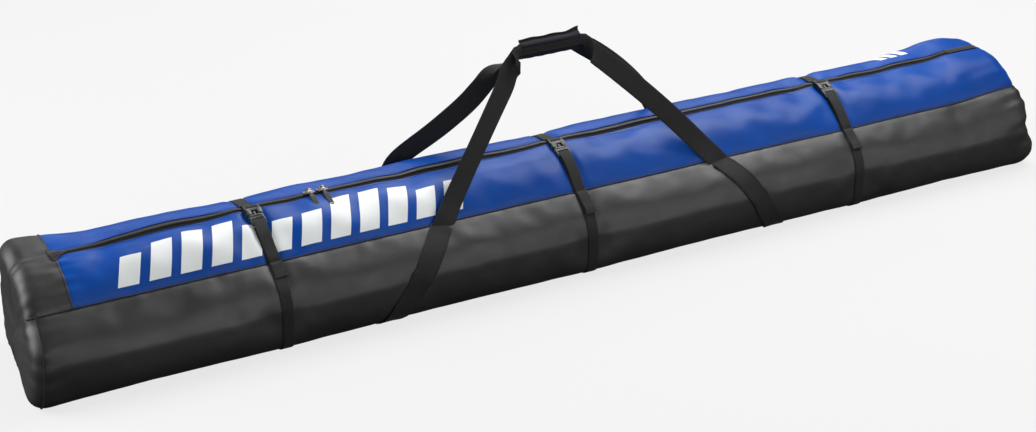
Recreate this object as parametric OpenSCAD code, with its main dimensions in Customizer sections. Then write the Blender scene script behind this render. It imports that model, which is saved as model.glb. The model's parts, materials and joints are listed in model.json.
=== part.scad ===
// Long soft ski bag lying on its base, stuffed to its full section.
// +X runs along the bag to its right end, -Y is the front, +Z is up.
// The origin is the middle of the flat base.

/* [Bag] */
// Length of the bag, end panel to end panel
bag_l = 1920; // [1800:10:2100]
// Width of the bag where it is widest
bag_w = 264; // [256:2:284]
// Height of the top of the bag, where the zip runs
top_z = 200; // [194:1:208]
// Height at which the bag is widest
mid_z = 72; // [68:1:76]
// Angle around the section at which the top panels are sewn to the lower shell
seam_angle = 39; // [36:1:42]
// Thickness of the tarpaulin
wall = 2.5; // [2.2:0.1:2.8]
// Thickness of the end panels
end_t = 3; // [2.5:0.5:4]
// Length of the black cap over the top of the left end
cap_l = 65; // [55:5:80]
// Length over which the top slopes down at the right end
slope_l = 75; // [65:5:90]

/* [Inside] */
// Thickness of the foam in the base and the ends
foam_t = 6; // [4:1:8]
// Thickness of the lining
lining_t = 1; // [0.8:0.1:1.5]

/* [Seams] */
// Radius of the piping in the two long seams
piping_r = 2.5; // [2:0.1:2.8]
// Clearance between the piping and the cloth around it
piping_gap = 0.7; // [0.5:0.1:1]
// Height of the welts around the ends
welt_h = 2.5; // [1.5:0.5:3]

/* [Zip] */
// Gap between the edges of the two top panels
zip_gap = 16; // [15:1:18]
// Width of one row of coil teeth
teeth_w = 3; // [2.5:0.1:3.2]
// Place of the left slider along the bag
slider_left_x = -458; // [-500:1:-440]
// Distance from the left slider to the right one
slider_pitch = 24; // [22:1:40]
// Length of a slider
slider_l = 19; // [16:1:20]
// Width of a slider
slider_w = 10.5; // [9:0.5:11]
// Length of a pull tab
tab_l = 34; // [26:1:40]
// Width of a pull tab
tab_w = 8; // [6:0.5:9]

/* [Straps] */
// Width of the compression webbing
strap_w = 20; // [18:1:22]
// Thickness of all the webbing
web_t = 1.5; // [1.2:0.1:1.6]
// Distance from the middle strap to each outer one
strap_pitch = 565; // [500:5:600]
// Distance of the closed buckles' joint line in front of the zip
buckle_y = 26; // [25:0.5:28]
// Length of the free end below the long seam
tail_drop = 40; // [25:5:50]

/* [Handles] */
// Width of the handle webbing
handle_w = 38; // [34:1:42]
// Height of the middle of the grip
grip_z = 372; // [350:2:400]
// Length of the grip
grip_l = 112; // [100:2:130]
// Place of the grip along the bag
grip_x = -20; // [-30:5:0]
// Half the distance between the legs of a handle at the long seam
leg_seam = 260; // [240:5:280]
// Place of the middle between those legs
leg_mid_x = 17; // [0:1:20]
// Half the distance between the legs at the base
leg_foot = 385; // [360:5:400]

/* [Hidden] */
$fn = 32;
eps = 0.01;

// --- the section: a superellipse, boxy below its widest height and pointed above ---
half_l = bag_l / 2;
half_w = bag_w / 2;
crown_h = top_z - mid_z;
low_h = mid_z + 3;          // reaches 3 mm below the base, where it is cut flat
low_power = 4.5;
crown_power = 1.5;
section_step = 5;
function side(v) = v < 0 ? -1 : 1;
function power(t) = sin(t) < 0 ? low_power : crown_power;
function rise(t) = sin(t) < 0 ? low_h : crown_h;
// Point of the section at the angle t: 0 is the rear, 90 the top and 180 the front
function rim(t) = [
    half_w * side(cos(t)) * pow(abs(cos(t)), 2 / power(t)),
    mid_z + rise(t) * side(sin(t)) * pow(abs(sin(t)), 2 / power(t))
];
// Outward direction of the section there
function out(t) = let (d = rim(t + 0.5) - rim(t - 0.5)) [d[1], -d[0]] / norm(d);
function above(t, height) = rim(t) + height * out(t);

// --- the hinge line of the front seam; the rear one is its mirror image ---
front_seam_t = 180 - seam_angle;
hinge = above(front_seam_t, -wall / 2);
seam_z = rim(front_seam_t)[1];

// --- the buckle's own frame: on the front slope, its Y up the slope and its Z outward ---
buckle_t = 180 - acos(pow(buckle_y / half_w, crown_power / 2));
slope_n = out(buckle_t);
slope_u = [slope_n[1], -slope_n[0]];
slope_angle = atan2(slope_u[1], slope_u[0]);
function on_slope(up, height) = rim(buckle_t) + up * slope_u + height * slope_n;
socket_w = 27;
socket_l = 22;
plug_l = 20;
buckle_z0 = 2.2;            // underside of the buckle above the panel
buckle_h = 6.6;
bar_z = buckle_z0 + 2.6;
bar_r = 1.4;
plug_bar = -12.5;
socket_bar = 17;
eye_gap = 0.35;
strap_xs = [-strap_pitch, 0, strap_pitch];
web_lift = 0.3;             // webbing above the cloth it lies on
tail_lift = 7.8;            // middle of the free end where it leaves the plug
seam_gap_t = 6;             // angle of the section left free at the hinge line

// --- the handles: each lies in one plane through its hinge line ---
grip_y = 6.5;
handle_lean = atan2(grip_z - hinge[1], -grip_y - hinge[0]);
grip_r = (grip_z - hinge[1]) / sin(handle_lean);
leg_start = 12;
folded_w = 20;              // the webbing is folded in two inside the grip
folded_t = 3.2;
wrap_w = 28;
wrap_h = 30;
wrap_t = 1.8;
wrap_slot = 9;
flap_bead_r = 1.4;

// --- the zip ---
teeth_z = top_z - 1.5;
teeth_h = 3;
tape_t = 0.8;
tape_w = 16;
panels_x0 = -half_l + cap_l + 1;
panels_x1 = half_l - slope_l - 1;
slider_xs = [slider_left_x, slider_left_x + slider_pitch];
rod_z = top_z + 7.6;
rod_r = 0.8;
link_l = 9;
pull_angle = 24;            // the front slope just below the zip
post_l = 6;

// ------------------------------------------------------------------ helpers

// Extrudes an outline in Y and Z along the bag, from x0 to x1
module along(x0, x1) translate([x0, 0, 0]) rotate([90, 0, 90]) linear_extrude(x1 - x0) children();

// The whole section, grown or shrunk, down to the base
module section_2d(grow = 0) intersection() {
    offset(delta = grow) polygon([for (t = [0:section_step:359]) rim(t)]);
    translate([-bag_w, max(0, -grow)]) square([2 * bag_w, 2 * bag_w]);
}
module ring_2d(inset, thick) difference() {
    section_2d(-inset);
    section_2d(-inset - thick);
}
module below_2d(z) translate([-bag_w, z - 2 * bag_w]) square([2 * bag_w, 2 * bag_w]);
module above_2d(z) translate([-bag_w, z]) square([2 * bag_w, 2 * bag_w]);
module seam_holes_2d() for (s = [-1, 1]) translate([s * hinge[0], hinge[1]]) circle(piping_r + piping_gap);

// Outline of a band of a given thickness along a path in Y and Z
function heading(p, i) = let (
    d = p[min(i + 1, len(p) - 1)] - p[max(i - 1, 0)]
) [d[1], -d[0]] / norm(d);
function band(p, thick) = concat(
    [for (i = [0:len(p) - 1]) p[i] + heading(p, i) * thick / 2],
    [for (i = [len(p) - 1:-1:0]) p[i] - heading(p, i) * thick / 2]
);

module mirror_y(on) mirror([0, on ? 1 : 0, 0]) children();

// Round-cornered plate in the buckle's plan
module plate_2d(w, y0, y1, r) translate([0, (y0 + y1) / 2]) offset(r) square([w - 2 * r, y1 - y0 - 2 * r], center = true);
module slab(w, y0, y1, z0, h, r = 2) translate([0, 0, z0]) linear_extrude(h) plate_2d(w, y0, y1, r);
module cross_bar(y, z, r, w) translate([-w / 2, y, z]) rotate([0, 90, 0]) cylinder(r = r, h = w);
module at_buckle(x) translate([x, rim(buckle_t)[0], rim(buckle_t)[1]]) rotate([slope_angle, 0, 0]) children();

// Eye of webbing around a bar of the buckle
module eye(x, p) along(x - strap_w / 2, x + strap_w / 2) translate(p) difference() {
    circle(bar_r + eye_gap + web_t);
    circle(bar_r + eye_gap);
}

// ------------------------------------------------------------------ the bag

module lower_shell() color([0.12, 0.12, 0.13]) along(-half_l + end_t, half_l - end_t) difference() {
    ring_2d(0, wall);
    above_2d(seam_z);
    seam_holes_2d();
}

module left_end_cap() color([0.14, 0.14, 0.15]) {
    along(-half_l, -half_l + end_t) difference() {
        section_2d();
        seam_holes_2d();
    }
    along(-half_l + end_t - eps, -half_l + cap_l) difference() {
        ring_2d(0, wall);
        below_2d(seam_z);
        seam_holes_2d();
    }
}

module right_end_panel() color([0.13, 0.13, 0.14]) along(half_l - end_t, half_l) difference() {
    section_2d();
    above_2d(seam_z);
    seam_holes_2d();
}

// Space under the slope of the right end, measured down from the outer skin
module under_slope(drop) {
    fall = atan2(top_z - seam_z, slope_l);
    translate([half_l - slope_l, 0, top_z]) rotate([0, fall, 0])
        translate([-bag_l, -bag_w, -bag_w - drop / cos(fall)]) cube([2 * bag_l, 2 * bag_w, bag_w]);
}
module right_end_top() color([0.04, 0.16, 0.5]) difference() {
    intersection() {
        along(half_l - slope_l, half_l) difference() {
            section_2d();
            below_2d(seam_z);
            seam_holes_2d();
        }
        under_slope(0);
    }
    intersection() {
        along(half_l - slope_l - 1, half_l + 1) difference() {
            section_2d(-wall);
            below_2d(seam_z - 1);
        }
        under_slope(wall);
    }
}

foam_top = wall + 0.3 + foam_t;
module base_foam() color([0.25, 0.25, 0.27])
    along(-half_l + end_t + foam_t + 1, half_l - end_t - foam_t - 1) difference() {
        section_2d(-wall - 0.3);
        above_2d(foam_top);
    }
module end_foam_2d() difference() {
    section_2d(-wall - 0.3);
    above_2d(seam_z - 8);
}
module left_end_foam() color([0.25, 0.25, 0.27])
    along(-half_l + end_t + 0.3, -half_l + end_t + 0.3 + foam_t) end_foam_2d();
module right_end_foam() color([0.25, 0.25, 0.27])
    along(half_l - end_t - 0.3 - foam_t, half_l - end_t - 0.3) end_foam_2d();

module lining() color([0.2, 0.21, 0.24]) {
    x1 = half_l - end_t - foam_t - 1.3;
    inset = wall + 0.3;
    difference() {
        along(-x1, x1) difference() {
            section_2d(-inset);
            above_2d(seam_z - 7);
            below_2d(foam_top + 0.3);
        }
        along(-x1 + lining_t, x1 - lining_t) difference() {
            section_2d(-inset - lining_t);
            below_2d(foam_top + 0.3 + lining_t);
        }
    }
}

module seam_piping() along(-half_l + end_t, half_l - end_t) translate(hinge) circle(piping_r);
module front_seam_piping() color([0.05, 0.05, 0.06]) seam_piping();
module rear_seam_piping() color([0.05, 0.05, 0.06]) mirror_y(true) seam_piping();

module welt_2d() difference() {
    section_2d(welt_h);
    section_2d(0.1);
    seam_holes_2d();
}
module left_end_welt() color([0.08, 0.08, 0.09]) along(-half_l + 0.5, -half_l + 4.5) welt_2d();
module right_end_welt() color([0.08, 0.08, 0.09]) along(half_l - 4.5, half_l - 0.5) difference() {
    welt_2d();
    above_2d(seam_z);
}

module strap_under(x) color([0.1, 0.1, 0.11]) along(x - strap_w / 2, x + strap_w / 2) {
    turn = 360 - 2 * (90 - seam_angle) - 2 * seam_gap_t;
    steps = 48;
    polygon(band([for (i = [0:steps])
        let (p = above(front_seam_t + seam_gap_t + turn * i / steps, 0.6)) [p[0], max(p[1], web_t / 2)]], web_t));
}

// ------------------------------------------------------------------ top panels and zip

module top_panel_2d() difference() {
    ring_2d(0, wall);
    below_2d(seam_z);
    seam_holes_2d();
    translate([-zip_gap / 2, 0]) square([bag_w, 2 * bag_w]);
}
module top_panel() along(panels_x0, panels_x1) top_panel_2d();
module front_top_panel() color([0.04, 0.18, 0.55]) top_panel();
module rear_top_panel() color([0.04, 0.18, 0.55]) mirror_y(true) top_panel();

// Tape under a panel's edge, with the coil along its own edge
module tape() along(panels_x0, panels_x1) polygon(band([
    [-tape_w, top_z - 8.2], [-zip_gap / 2, top_z - wall - 2.6], [-3, teeth_z - 0.2], [-1.4, teeth_z - 0.2]
], tape_t));
module teeth() difference() {
    along(panels_x0, panels_x1) translate([-teeth_w - 0.15, teeth_z + 0.4]) square([teeth_w, teeth_h - 0.9]);
    for (x = slider_xs) translate([x - post_l / 2 - 0.5, -1.6, 0]) cube([post_l + 1, 4, bag_w]);
}
module zip_tape_front() color([0.07, 0.07, 0.08]) tape();
module zip_tape_rear() color([0.07, 0.07, 0.08]) mirror_y(true) tape();
module zip_teeth_front() color([0.1, 0.1, 0.1]) teeth();
module zip_teeth_rear() color([0.1, 0.1, 0.1]) mirror_y(true) teeth();

// Triangular tab of cloth over the zip's left end, and the square one over its right end
tab_z = top_z + 2.2;
module zip_garage() color([0.06, 0.06, 0.07]) translate([-half_l + cap_l - 6, 0, tab_z])
    linear_extrude(1.2) polygon([[0, -7], [8, -7], [30, -1.5], [30, 1.5], [8, 7], [0, 7]]);
module zip_end_stop() color([0.06, 0.06, 0.07]) translate([half_l - slope_l - 20, -6, tab_z]) cube([19, 12, 1.2]);

module slider(x) color([0.3, 0.28, 0.26]) translate([x, 0, 0]) {
    top_plate = top_z + 2.2;
    plate_h = 1.6;
    low_plate = top_z - 6.4;
    outline_r = 3;
    for (z = [low_plate, top_plate]) translate([0, 0, z]) linear_extrude(plate_h)
        offset(outline_r) square([slider_l - 2 * outline_r, slider_w - 2 * outline_r], center = true);
    translate([-post_l / 2, -0.9, low_plate]) cube([post_l, 1.8, top_plate - low_plate + 1]);
    for (s = [-1, 1]) translate([s * 4.6 - 0.9, -1.6, top_plate + plate_h - eps])
        cube([1.8, 3.2, rod_z - top_plate - plate_h + 1.2]);
    translate([-4.6, 0, rod_z]) rotate([0, 90, 0]) cylinder(r = rod_r, h = 9.2);
}

// The link turns on the slider's rod and lies down the front slope
module on_rod(x) translate([x, 0, rod_z]) rotate([pull_angle, 0, 0]) children();
module puller(x) color([0.3, 0.28, 0.26]) on_rod(x) difference() {
    union() {
        translate([-3, 0, 0]) rotate([0, 90, 0]) cylinder(r = 2, h = 6);
        translate([-3, -link_l, -0.7]) cube([6, link_l, 1.4]);
    }
    translate([-4, 0, 0]) rotate([0, 90, 0]) cylinder(r = rod_r + 0.3, h = 8);
    translate([-1.8, -link_l + 1.3, -2]) cube([3.6, 3.2, 4]);
}
module pull_tab(x) color([0.05, 0.05, 0.05]) on_rod(x) {
    translate([0, -link_l - 0.2, -1.2]) linear_extrude(2.4)
        translate([0, -tab_l / 2]) offset(1.5) square([tab_w - 3, tab_l - 3], center = true);
}

// ------------------------------------------------------------------ compression straps

module strap_front(x) color([0.1, 0.1, 0.11]) along(x - strap_w / 2, x + strap_w / 2) {
    steps = 12;
    top_t = buckle_t + 12;
    low_t = front_seam_t - seam_gap_t;
    polygon(band([for (i = [0:steps]) above(top_t + (low_t - top_t) * i / steps, web_lift + web_t / 2)], web_t));
}

module strap_rear(x) color([0.1, 0.1, 0.11]) {
    steps = 14;
    low_t = seam_angle + seam_gap_t;
    lift = web_lift + web_t / 2;
    bar = on_slope(socket_bar, bar_z);
    over = 0.9 * (bar_r + eye_gap + web_t / 2);
    along(x - strap_w / 2, x + strap_w / 2) polygon(band(concat(
        [for (i = [0:steps]) above(low_t + (88 - low_t) * i / steps, lift + 4.8 * pow(i / steps, 6))],
        [bar + over * slope_n + [3, 1.1], bar + over * slope_n]
    ), web_t));
    eye(x, bar);
}

// Free end: round the plug's bar, back over its end bar and down the front
module strap_tail(x) color([0.1, 0.1, 0.11]) {
    bar = on_slope(plug_bar, bar_z);
    over = bar_r + eye_gap + web_t / 2;
    steps = 16;
    top_t = buckle_t + 17;
    drop_t = tail_drop * 1.05;
    low_t = front_seam_t + drop_t * 0.62;
    along(x - strap_w / 2, x + strap_w / 2) polygon(band(concat(
        [bar + over * slope_n, bar + over * slope_n - 5 * slope_u],
        [for (i = [0:steps]) above(top_t + (low_t - top_t) * i / steps, tail_lift - (tail_lift - 4.6) * i / steps)]
    ), web_t));
    eye(x, bar);
}

module buckle_socket(x) color([0.06, 0.06, 0.06]) at_buckle(x) difference() {
    union() {
        slab(socket_w, 0.3, 14, buckle_z0, buckle_h, 2);
        slab(socket_w - 1.5, 10, socket_l, buckle_z0, buckle_h - 1.6, 2);
    }
    // cavity, open at its mouth, and the two side windows for the barbs
    translate([-socket_w / 2 + 1.7, -1, buckle_z0 + 1.1]) cube([socket_w - 3.4, 13.5, buckle_h - 2.2]);
    for (s = [-1, 1]) translate([s * socket_w / 2 - 2, 4.5, buckle_z0 + 1.1]) cube([4, 7, buckle_h - 2.2]);
    // notch over the prongs
    translate([0, 0, buckle_z0 + buckle_h - 2]) linear_extrude(4) offset(2) square([6, 12], center = true);
    // the end rail is low, so that the webbing clears it
    translate([-socket_w, socket_bar + 3.7, buckle_z0 + 1.7]) cube([2 * socket_w, 10, 20]);
    // slot for the webbing, behind and before its bar
    difference() {
        translate([-strap_w / 2 - 0.6, socket_bar - 3.8, 0]) cube([strap_w + 1.2, 7.6, 20]);
        cross_bar(socket_bar, bar_z, bar_r, strap_w + 4);
    }
}

module buckle_plug(x) color([0.06, 0.06, 0.06]) at_buckle(x) {
    rail = 2;
    frame_w = strap_w + 1.2 + 2 * rail;
    difference() {
        slab(frame_w, -plug_l, 0, buckle_z0, 5.2, 1.8);
        translate([-strap_w / 2 - 0.6, plug_bar - 4.2, 0]) cube([strap_w + 1.2, 8.4, 20]);
        // the end rail is low, so that the free end clears it
        translate([-frame_w, -plug_l - 1, buckle_z0 + 3.6]) cube([2 * frame_w, plug_l + plug_bar - 3, 10]);
    }
    cross_bar(plug_bar, bar_z, bar_r, strap_w + 2.2);
    slab(frame_w - 3, -3.5, -1, buckle_z0, 6.2, 1.2);
}

module buckle_prongs(x) color([0.09, 0.09, 0.09]) at_buckle(x) {
    z0 = buckle_z0 + 1.6;
    h = buckle_h - 3.2;
    translate([-2.2, 0, z0]) cube([4.4, 10, h]);
    for (s = [-1, 1]) mirror([s < 0 ? 1 : 0, 0, 0]) translate([0, 0, z0]) linear_extrude(h)
        polygon([[6.2, 0], [8.8, 0], [9.2, 5.2], [13, 5.6], [12.6, 8], [9.4, 11.2], [7.6, 11.2], [7.2, 6]]);
}

// ------------------------------------------------------------------ handles

// Sewn webbing: from the front seam, under the base and up to the rear seam, its legs leaning
function base_point(s, t) = let (
    p = above(t, 0.6),
    z = max(p[1], web_t / 2)
) [s * leg_foot + (leg_mid_x + s * leg_seam - s * leg_foot) * z / seam_z, p[0], z];
function unit(v) = v / norm(v);
module handle_base(s) color([0.1, 0.1, 0.11]) {
    steps = 44;
    first = front_seam_t + seam_gap_t;
    turn = 360 - 2 * (90 - seam_angle) - 2 * seam_gap_t;
    ts = [for (i = [0:steps]) first + turn * i / steps];
    corners = [for (i = [0:steps]) let (
        a = base_point(s, ts[max(i - 1, 0)]),
        b = base_point(s, ts[min(i + 1, steps)]),
        n2 = out(ts[i]),
        flat = above(ts[i], 0.6)[1] <= web_t / 2,
        n = flat ? [0, 0, -1] : [0, n2[0], n2[1]],
        w = unit(cross(b - a, n)) * handle_w / 2,
        c = base_point(s, ts[i])
    ) each [c + w + n * web_t / 2, c - w + n * web_t / 2, c - w - n * web_t / 2, c + w - n * web_t / 2]];
    last = 4 * steps;
    polyhedron(corners, concat(
        [[0, 1, 2], [0, 2, 3], [last + 2, last + 1, last], [last + 3, last + 2, last]],
        [for (i = [0:steps - 1], k = [0:3]) let (p = 4 * i + k, q = 4 * i + (k + 1) % 4) each
            [[p, p + 4, q + 4], [p, q + 4, q]]]
    ));
}

module in_handle_plane() translate([0, hinge[0], hinge[1]]) rotate([handle_lean, 0, 0]) children();
// Strip of webbing between two points of that plane
module strip_2d(p, q, w) let (n = [q[1] - p[1], p[0] - q[0]] / norm(q - p) * w / 2)
    polygon([p + n, q + n, q - n, p - n]);
module handle_loop() in_handle_plane() {
    reach = grip_l / 2 + 14;
    translate([0, 0, -web_t / 2]) linear_extrude(web_t) intersection() {
        offset(r = -6) offset(delta = 6) for (s = [-1, 1])
            strip_2d([leg_mid_x + s * leg_seam, 0], [grip_x + s * reach, grip_r + 2], handle_w);
        translate([-half_l, leg_start]) square([bag_l, grip_r - leg_start + folded_w / 2]);
    }
    translate([grip_x - reach - 4, grip_r - folded_w / 2, -folded_t / 2]) cube([2 * reach + 8, folded_w, folded_t]);
}
module handle_front_loop() color([0.1, 0.1, 0.11]) handle_loop();
module handle_rear_loop() color([0.1, 0.1, 0.11]) mirror_y(true) handle_loop();

module wrap_outline_2d(inset) translate([0, grip_z]) offset(7 - inset)
    square([wrap_w - 14, wrap_h - 14], center = true);
module grip_wrap() color([0.12, 0.1, 0.2]) along(grip_x - grip_l / 2, grip_x + grip_l / 2) difference() {
    wrap_outline_2d(0);
    wrap_outline_2d(wrap_t);
    translate([-wrap_slot / 2, grip_z]) square([wrap_slot, wrap_h]);
}
// Hook-and-loop flap over the slot; it turns up about its front edge
flap_y = -8;
flap_z = grip_z + wrap_h / 2 + flap_bead_r + 0.4;
module grip_wrap_flap() color([0.07, 0.06, 0.1]) along(grip_x - grip_l / 2 + 2, grip_x + grip_l / 2) {
    translate([flap_y, flap_z]) circle(flap_bead_r);
    polygon(band([[flap_y, flap_z], [0, flap_z], [5, flap_z + 0.6], [9, flap_z + 4.5]], wrap_t));
}

// ------------------------------------------------------------------ assembly

lower_shell();
left_end_cap();
right_end_panel();
right_end_top();
lining();
base_foam();
left_end_foam();
right_end_foam();
front_seam_piping();
rear_seam_piping();
left_end_welt();
right_end_welt();
zip_garage();
zip_end_stop();
strap_under(strap_xs[0]);  // strap_left_under
strap_under(strap_xs[1]);  // strap_middle_under
strap_under(strap_xs[2]);  // strap_right_under
handle_base(-1);  // handle_base_left
handle_base(1);  // handle_base_right
front_top_panel();
zip_tape_front();
zip_teeth_front();
strap_front(strap_xs[0]);  // strap_left_front
strap_front(strap_xs[1]);  // strap_middle_front
strap_front(strap_xs[2]);  // strap_right_front
rear_top_panel();
zip_tape_rear();
zip_teeth_rear();
strap_rear(strap_xs[0]);  // strap_left_rear
strap_rear(strap_xs[1]);  // strap_middle_rear
strap_rear(strap_xs[2]);  // strap_right_rear
buckle_socket(strap_xs[0]);  // buckle_left_socket
buckle_socket(strap_xs[1]);  // buckle_middle_socket
buckle_socket(strap_xs[2]);  // buckle_right_socket
buckle_plug(strap_xs[0]);  // buckle_left_plug
buckle_plug(strap_xs[1]);  // buckle_middle_plug
buckle_plug(strap_xs[2]);  // buckle_right_plug
buckle_prongs(strap_xs[0]);  // buckle_left_prongs
buckle_prongs(strap_xs[1]);  // buckle_middle_prongs
buckle_prongs(strap_xs[2]);  // buckle_right_prongs
strap_tail(strap_xs[0]);  // strap_left_tail
strap_tail(strap_xs[1]);  // strap_middle_tail
strap_tail(strap_xs[2]);  // strap_right_tail
slider(slider_xs[0]);  // slider_left
slider(slider_xs[1]);  // slider_right
puller(slider_xs[0]);  // puller_left
puller(slider_xs[1]);  // puller_right
pull_tab(slider_xs[0]);  // pull_tab_left
pull_tab(slider_xs[1]);  // pull_tab_right
handle_front_loop();
handle_rear_loop();
grip_wrap();
grip_wrap_flap();
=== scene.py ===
"""The looks of a long soft ski bag: tarpaulin shell, coil zip, webbing, buckles and carry handles.

Metres, +X to the bag's right end, -Y to its front, +Z up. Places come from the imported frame.
"""

import json
import math

import bmesh
import bpy
import numpy as np
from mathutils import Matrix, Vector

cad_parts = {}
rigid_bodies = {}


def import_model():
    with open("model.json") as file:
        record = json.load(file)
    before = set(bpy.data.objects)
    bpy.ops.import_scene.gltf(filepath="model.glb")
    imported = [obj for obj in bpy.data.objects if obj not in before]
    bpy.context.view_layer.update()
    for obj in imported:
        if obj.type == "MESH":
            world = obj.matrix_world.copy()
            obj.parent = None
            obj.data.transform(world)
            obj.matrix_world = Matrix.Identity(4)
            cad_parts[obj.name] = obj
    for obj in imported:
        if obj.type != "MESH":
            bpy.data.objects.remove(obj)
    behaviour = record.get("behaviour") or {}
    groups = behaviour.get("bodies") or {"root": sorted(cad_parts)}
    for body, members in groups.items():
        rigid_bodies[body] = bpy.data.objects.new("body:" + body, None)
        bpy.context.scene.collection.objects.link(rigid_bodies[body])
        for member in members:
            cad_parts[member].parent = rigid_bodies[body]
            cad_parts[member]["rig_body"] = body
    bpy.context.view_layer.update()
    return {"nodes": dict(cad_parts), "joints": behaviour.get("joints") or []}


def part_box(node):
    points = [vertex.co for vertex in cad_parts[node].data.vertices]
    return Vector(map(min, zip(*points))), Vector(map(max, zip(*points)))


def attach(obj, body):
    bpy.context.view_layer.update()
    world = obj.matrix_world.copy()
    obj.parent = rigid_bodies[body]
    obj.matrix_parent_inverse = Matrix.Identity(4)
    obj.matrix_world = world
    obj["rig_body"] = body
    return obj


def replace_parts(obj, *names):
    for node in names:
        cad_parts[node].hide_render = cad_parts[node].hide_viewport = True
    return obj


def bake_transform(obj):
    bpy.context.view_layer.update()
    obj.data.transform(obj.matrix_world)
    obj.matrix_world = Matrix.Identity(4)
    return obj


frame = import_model()
NODES = frame["nodes"]
JOINTS = {j["name"]: j for j in frame["joints"]}
TAU = 2 * math.pi

# ------------------------------------------------------------------ places and sizes, from the frame

HALF_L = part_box("right_end_panel")[1].x
HALF_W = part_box("lower_shell")[1].y
TOP_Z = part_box("left_end_cap")[1].z
PANEL_X0, PANEL_X1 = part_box("front_top_panel")[0].x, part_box("front_top_panel")[1].x
HINGE_Y, HINGE_Z = JOINTS["mouth_open"]["pos_m"][1:]
STRAPS = ("left", "middle", "right")
STRAP_X = [sum(c.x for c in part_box(f"strap_{s}_under")) / 2 for s in STRAPS]
STRAP_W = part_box("strap_left_under")[1].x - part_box("strap_left_under")[0].x
WEB_T = 0.0015
BASE_Z = WEB_T  # the base lies on the webbing that runs under it
MID_Z = 0.36 * TOP_Z
ZIP_HALF = 0.008
LOW_POWER, CROWN_POWER = 7.0, 1.5
CROWN_H, LOW_H = TOP_Z - MID_Z, MID_Z + 0.001
ROD_Z = JOINTS["puller_left_swing"]["pos_m"][2]
SLIDER_X = [JOINTS[f"puller_{s}_swing"]["pos_m"][0] for s in ("left", "right")]

GRIP_X0, GRIP_X1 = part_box("grip_wrap")[0].x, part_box("grip_wrap")[1].x
GRIP_Z = (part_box("grip_wrap")[0].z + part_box("grip_wrap")[1].z) / 2
GRIP_Y = -0.0065
HANDLE_W = 0.038
LEG_FOOT = 0.385

# ------------------------------------------------------------------ small helpers


def smooth(a, b, x):
    """0 below a, 1 above b and a soft step between."""
    t = np.clip((np.asarray(x, float) - a) / (b - a), 0, 1)
    return t * t * (3 - 2 * t)


def bell(x, middle, reach):
    """1 at the middle, and soft tails."""
    return np.exp(-(((x - middle) / reach) ** 2))


def unit(v):
    """The vectors at length 1."""
    return v / np.maximum(np.linalg.norm(v, axis=-1, keepdims=True), 1e-9)


def waves(x, y, lengths, seed):
    """Smooth noise of about +-1: a few sines in the plane, with seeded directions and phases."""
    rng = np.random.default_rng(seed)
    total = np.zeros(np.broadcast(x, y).shape)
    for length in lengths:
        for _ in range(4):
            angle, phase, stretch = rng.uniform(0, TAU), rng.uniform(0, TAU), rng.uniform(0.8, 1.3)
            total += np.sin(TAU * (x * math.cos(angle) + y * math.sin(angle)) * stretch / length + phase)
    return total / (2 * math.sqrt(len(lengths)))


def settle(obj, body=None, node=None):
    """Puts a piece on the body that it rides on, and hides the CAD node that it stands for."""
    if body:
        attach(obj, body)
    if node:
        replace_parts(obj, node)
    return obj


def run_of(points):
    """How far along a line each of its points lies."""
    return np.r_[0, np.cumsum(np.linalg.norm(np.diff(points, axis=0), axis=1))]


def place_at(s, run, values):
    """The point or direction at distance s along a line."""
    return np.array([np.interp(s, run, values[:, a]) for a in range(3)])


SHARP_EDGE = math.radians(52)


def finish_mesh(name, points, faces, uvs, material):
    """A smooth-shaded object from points, faces and one (u, v) in metres for each face corner."""
    mesh = bpy.data.meshes.new(name)
    mesh.from_pydata([tuple(p) for p in points], [], faces)
    layer = mesh.uv_layers.new(name="cloth")
    layer.data.foreach_set("uv", np.asarray(uvs, np.float32).ravel())
    mesh.polygons.foreach_set("use_smooth", [True] * len(mesh.polygons))
    mesh.materials.append(material)
    mesh.validate()
    mesh.set_sharp_from_angle(angle=SHARP_EDGE)
    obj = bpy.data.objects.new(name, mesh)
    bpy.context.scene.collection.objects.link(obj)
    return obj


def normals_of(grid, closed):
    """Outward directions of a grid of points, whose columns run round the bag."""
    across = np.roll(grid, -1, 1) - np.roll(grid, 1, 1) if closed else np.gradient(grid, axis=1)
    along = np.gradient(grid, axis=0)
    return unit(np.cross(across, along))


def cloth_piece(name, grid, uv, material, thick, mask=None, closed=False, lift=0.0, normals=None):
    """A closed thin piece from the quads of a grid that mask picks, thick metres deep."""
    rows, cols = grid.shape[:2]
    normals = normals_of(grid, closed) if normals is None else normals
    wrap = cols if closed else cols - 1
    if mask is None:
        mask = np.ones((rows - 1, wrap), bool)
    pole = [closed and np.ptp(grid[r], axis=0).max() < 1e-6 for r in range(rows)]
    number, points, under = {}, [], []

    def corner(i, j):
        key = (i, 0) if pole[i] else (i, j % cols)
        if key not in number:
            number[key] = len(points)
            outer = grid[key] + normals[key] * lift
            points.append(outer)
            under.append(outer - normals[key] * thick)
        return number[key]

    outer, corners_uv, edges = [], [], {}
    for i, j in np.argwhere(mask):
        keys = [(i, j), (i, j + 1), (i + 1, j + 1), (i + 1, j)]
        face, face_uv = [], []
        for a, b in keys:
            vertex = corner(a, b)
            if vertex not in face:
                face.append(vertex)
                face_uv.append(uv[a, b])
        outer.append(face)
        corners_uv.append(face_uv)
        for k, vertex in enumerate(face):
            following = face[(k + 1) % len(face)]
            edges[(vertex, following)] = (face_uv[k], face_uv[(k + 1) % len(face)])
    count = len(points)
    faces, uvs = list(outer), [c for f in corners_uv for c in f]
    for face, face_uv in zip(outer, corners_uv):
        faces.append([v + count for v in reversed(face)])
        uvs += list(reversed(face_uv))
    for (a, b), (uv_a, uv_b) in edges.items():
        if (b, a) not in edges:
            faces.append([b, a, a + count, b + count])
            uvs += [uv_b, uv_a, uv_a, uv_b]
    return finish_mesh(name, points + under, faces, uvs, material)


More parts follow.
